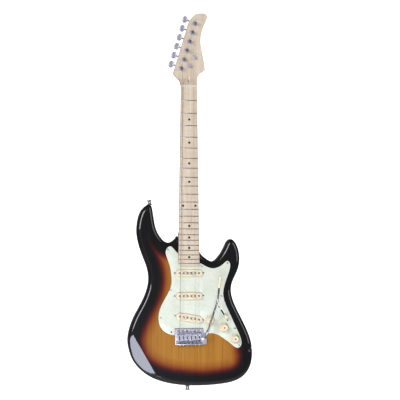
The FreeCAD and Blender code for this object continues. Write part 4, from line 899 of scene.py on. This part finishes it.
dress("strap_buttons", MAT["steel"], 0.4 * MM, 3)
dress("strap_felts", MAT["felt"], 0.3 * MM)
dress("jack_plate", MAT["chrome"], 0.3 * MM)
dress("output_jack", MAT["chrome"], 0.25 * MM)


# ---------------------------------------------------------------- stage, light and camera
def sheet(name, corners, material):
    mesh = bpy.data.meshes.new(name)
    mesh.from_pydata(corners, [], [(0, 1, 2, 3)])
    mesh.materials.append(material)
    obj = bpy.data.objects.new(name, mesh)
    bpy.context.scene.collection.objects.link(obj)
    return obj


def stage_paint(name, color, glow=0.0):
    paint = Paint(name, Roughness=0.9)
    paint.shader.inputs["Base Color"].default_value = (*color, 1.0)
    paint.shader.inputs["Emission Color"].default_value = (1.0, 1.0, 1.0, 1.0)
    paint.shader.inputs["Emission Strength"].default_value = glow
    return paint.material


def softbox(name, place, target, size, power, color=(1.0, 1.0, 1.0)):
    light = bpy.data.lights.new(name, "AREA")
    light.shape = "RECTANGLE"
    light.size, light.size_y = size
    light.energy = power
    light.color = color
    obj = bpy.data.objects.new(name, light)
    bpy.context.scene.collection.objects.link(obj)
    obj.location = place
    obj.rotation_euler = (Vector(target) - Vector(place)).to_track_quat("-Z", "Y").to_euler()
    obj.visible_camera = False
    return obj


FLOOR = -2.0
BACKDROP = 5.5
sheet("floor", [(-12, -12, FLOOR), (12, -12, FLOOR), (12, 12, FLOOR), (-12, 12, FLOOR)],
      stage_paint("floor_paper", (0.82, 0.82, 0.82)))
sheet("backdrop", [(-1.1, BACKDROP, FLOOR), (2.9, BACKDROP, FLOOR), (2.9, BACKDROP, 1.9), (-1.1, BACKDROP, 1.9)],
      stage_paint("backdrop_paper", (0.9, 0.9, 0.9), 1.2)).visible_glossy = False

world = bpy.data.worlds.new("studio")
world.use_nodes = True
world.node_tree.nodes["Background"].inputs["Color"].default_value = (0.97, 0.97, 1.0, 1.0)
world.node_tree.nodes["Background"].inputs["Strength"].default_value = 0.14
bpy.context.scene.world = world
bpy.context.scene.view_settings.view_transform = "Standard"

softbox("key", (-1.9, -2.3, 0.5), (0.0, 0.0, -0.45), (1.2, 1.6), 60.0)
softbox("fill", (2.4, -2.2, 0.2), (0.0, 0.0, -0.45), (1.4, 1.8), 24.0)
softbox("low", (-0.5, -1.8, -1.25), (-0.12, 0.0, -0.7), (1.0, 0.5), 19.0, (0.80, 0.83, 1.0))
softbox("back", (0.5, 3.4, 0.3), (0.0, 0.0, -0.4), (1.6, 1.6), 40.0).visible_glossy = False

DISTANCE = 3.05
VIEW_TURN = math.radians(9.0)
EYE_HEIGHT = -0.392
EYE_SHIFT = 0.0298
AIM_HEIGHT = -0.299

camera = bpy.data.cameras.new("camera")
camera.sensor_width = 36.0
camera.lens = 104.0
camera.clip_start, camera.clip_end = 0.1, 60.0
camera_object = bpy.data.objects.new("camera", camera)
bpy.context.scene.collection.objects.link(camera_object)
forward = Vector((math.sin(VIEW_TURN), math.cos(VIEW_TURN), 0.0))
right = Vector((forward.y, -forward.x, 0.0))
camera_object.location = -DISTANCE * forward + EYE_SHIFT * right + Vector((0.0, 0.0, EYE_HEIGHT))
aim = forward + Vector((0.0, 0.0, (AIM_HEIGHT - EYE_HEIGHT) / DISTANCE))
camera_object.rotation_euler = aim.to_track_quat("-Z", "Y").to_euler()
bpy.context.scene.camera = camera_object
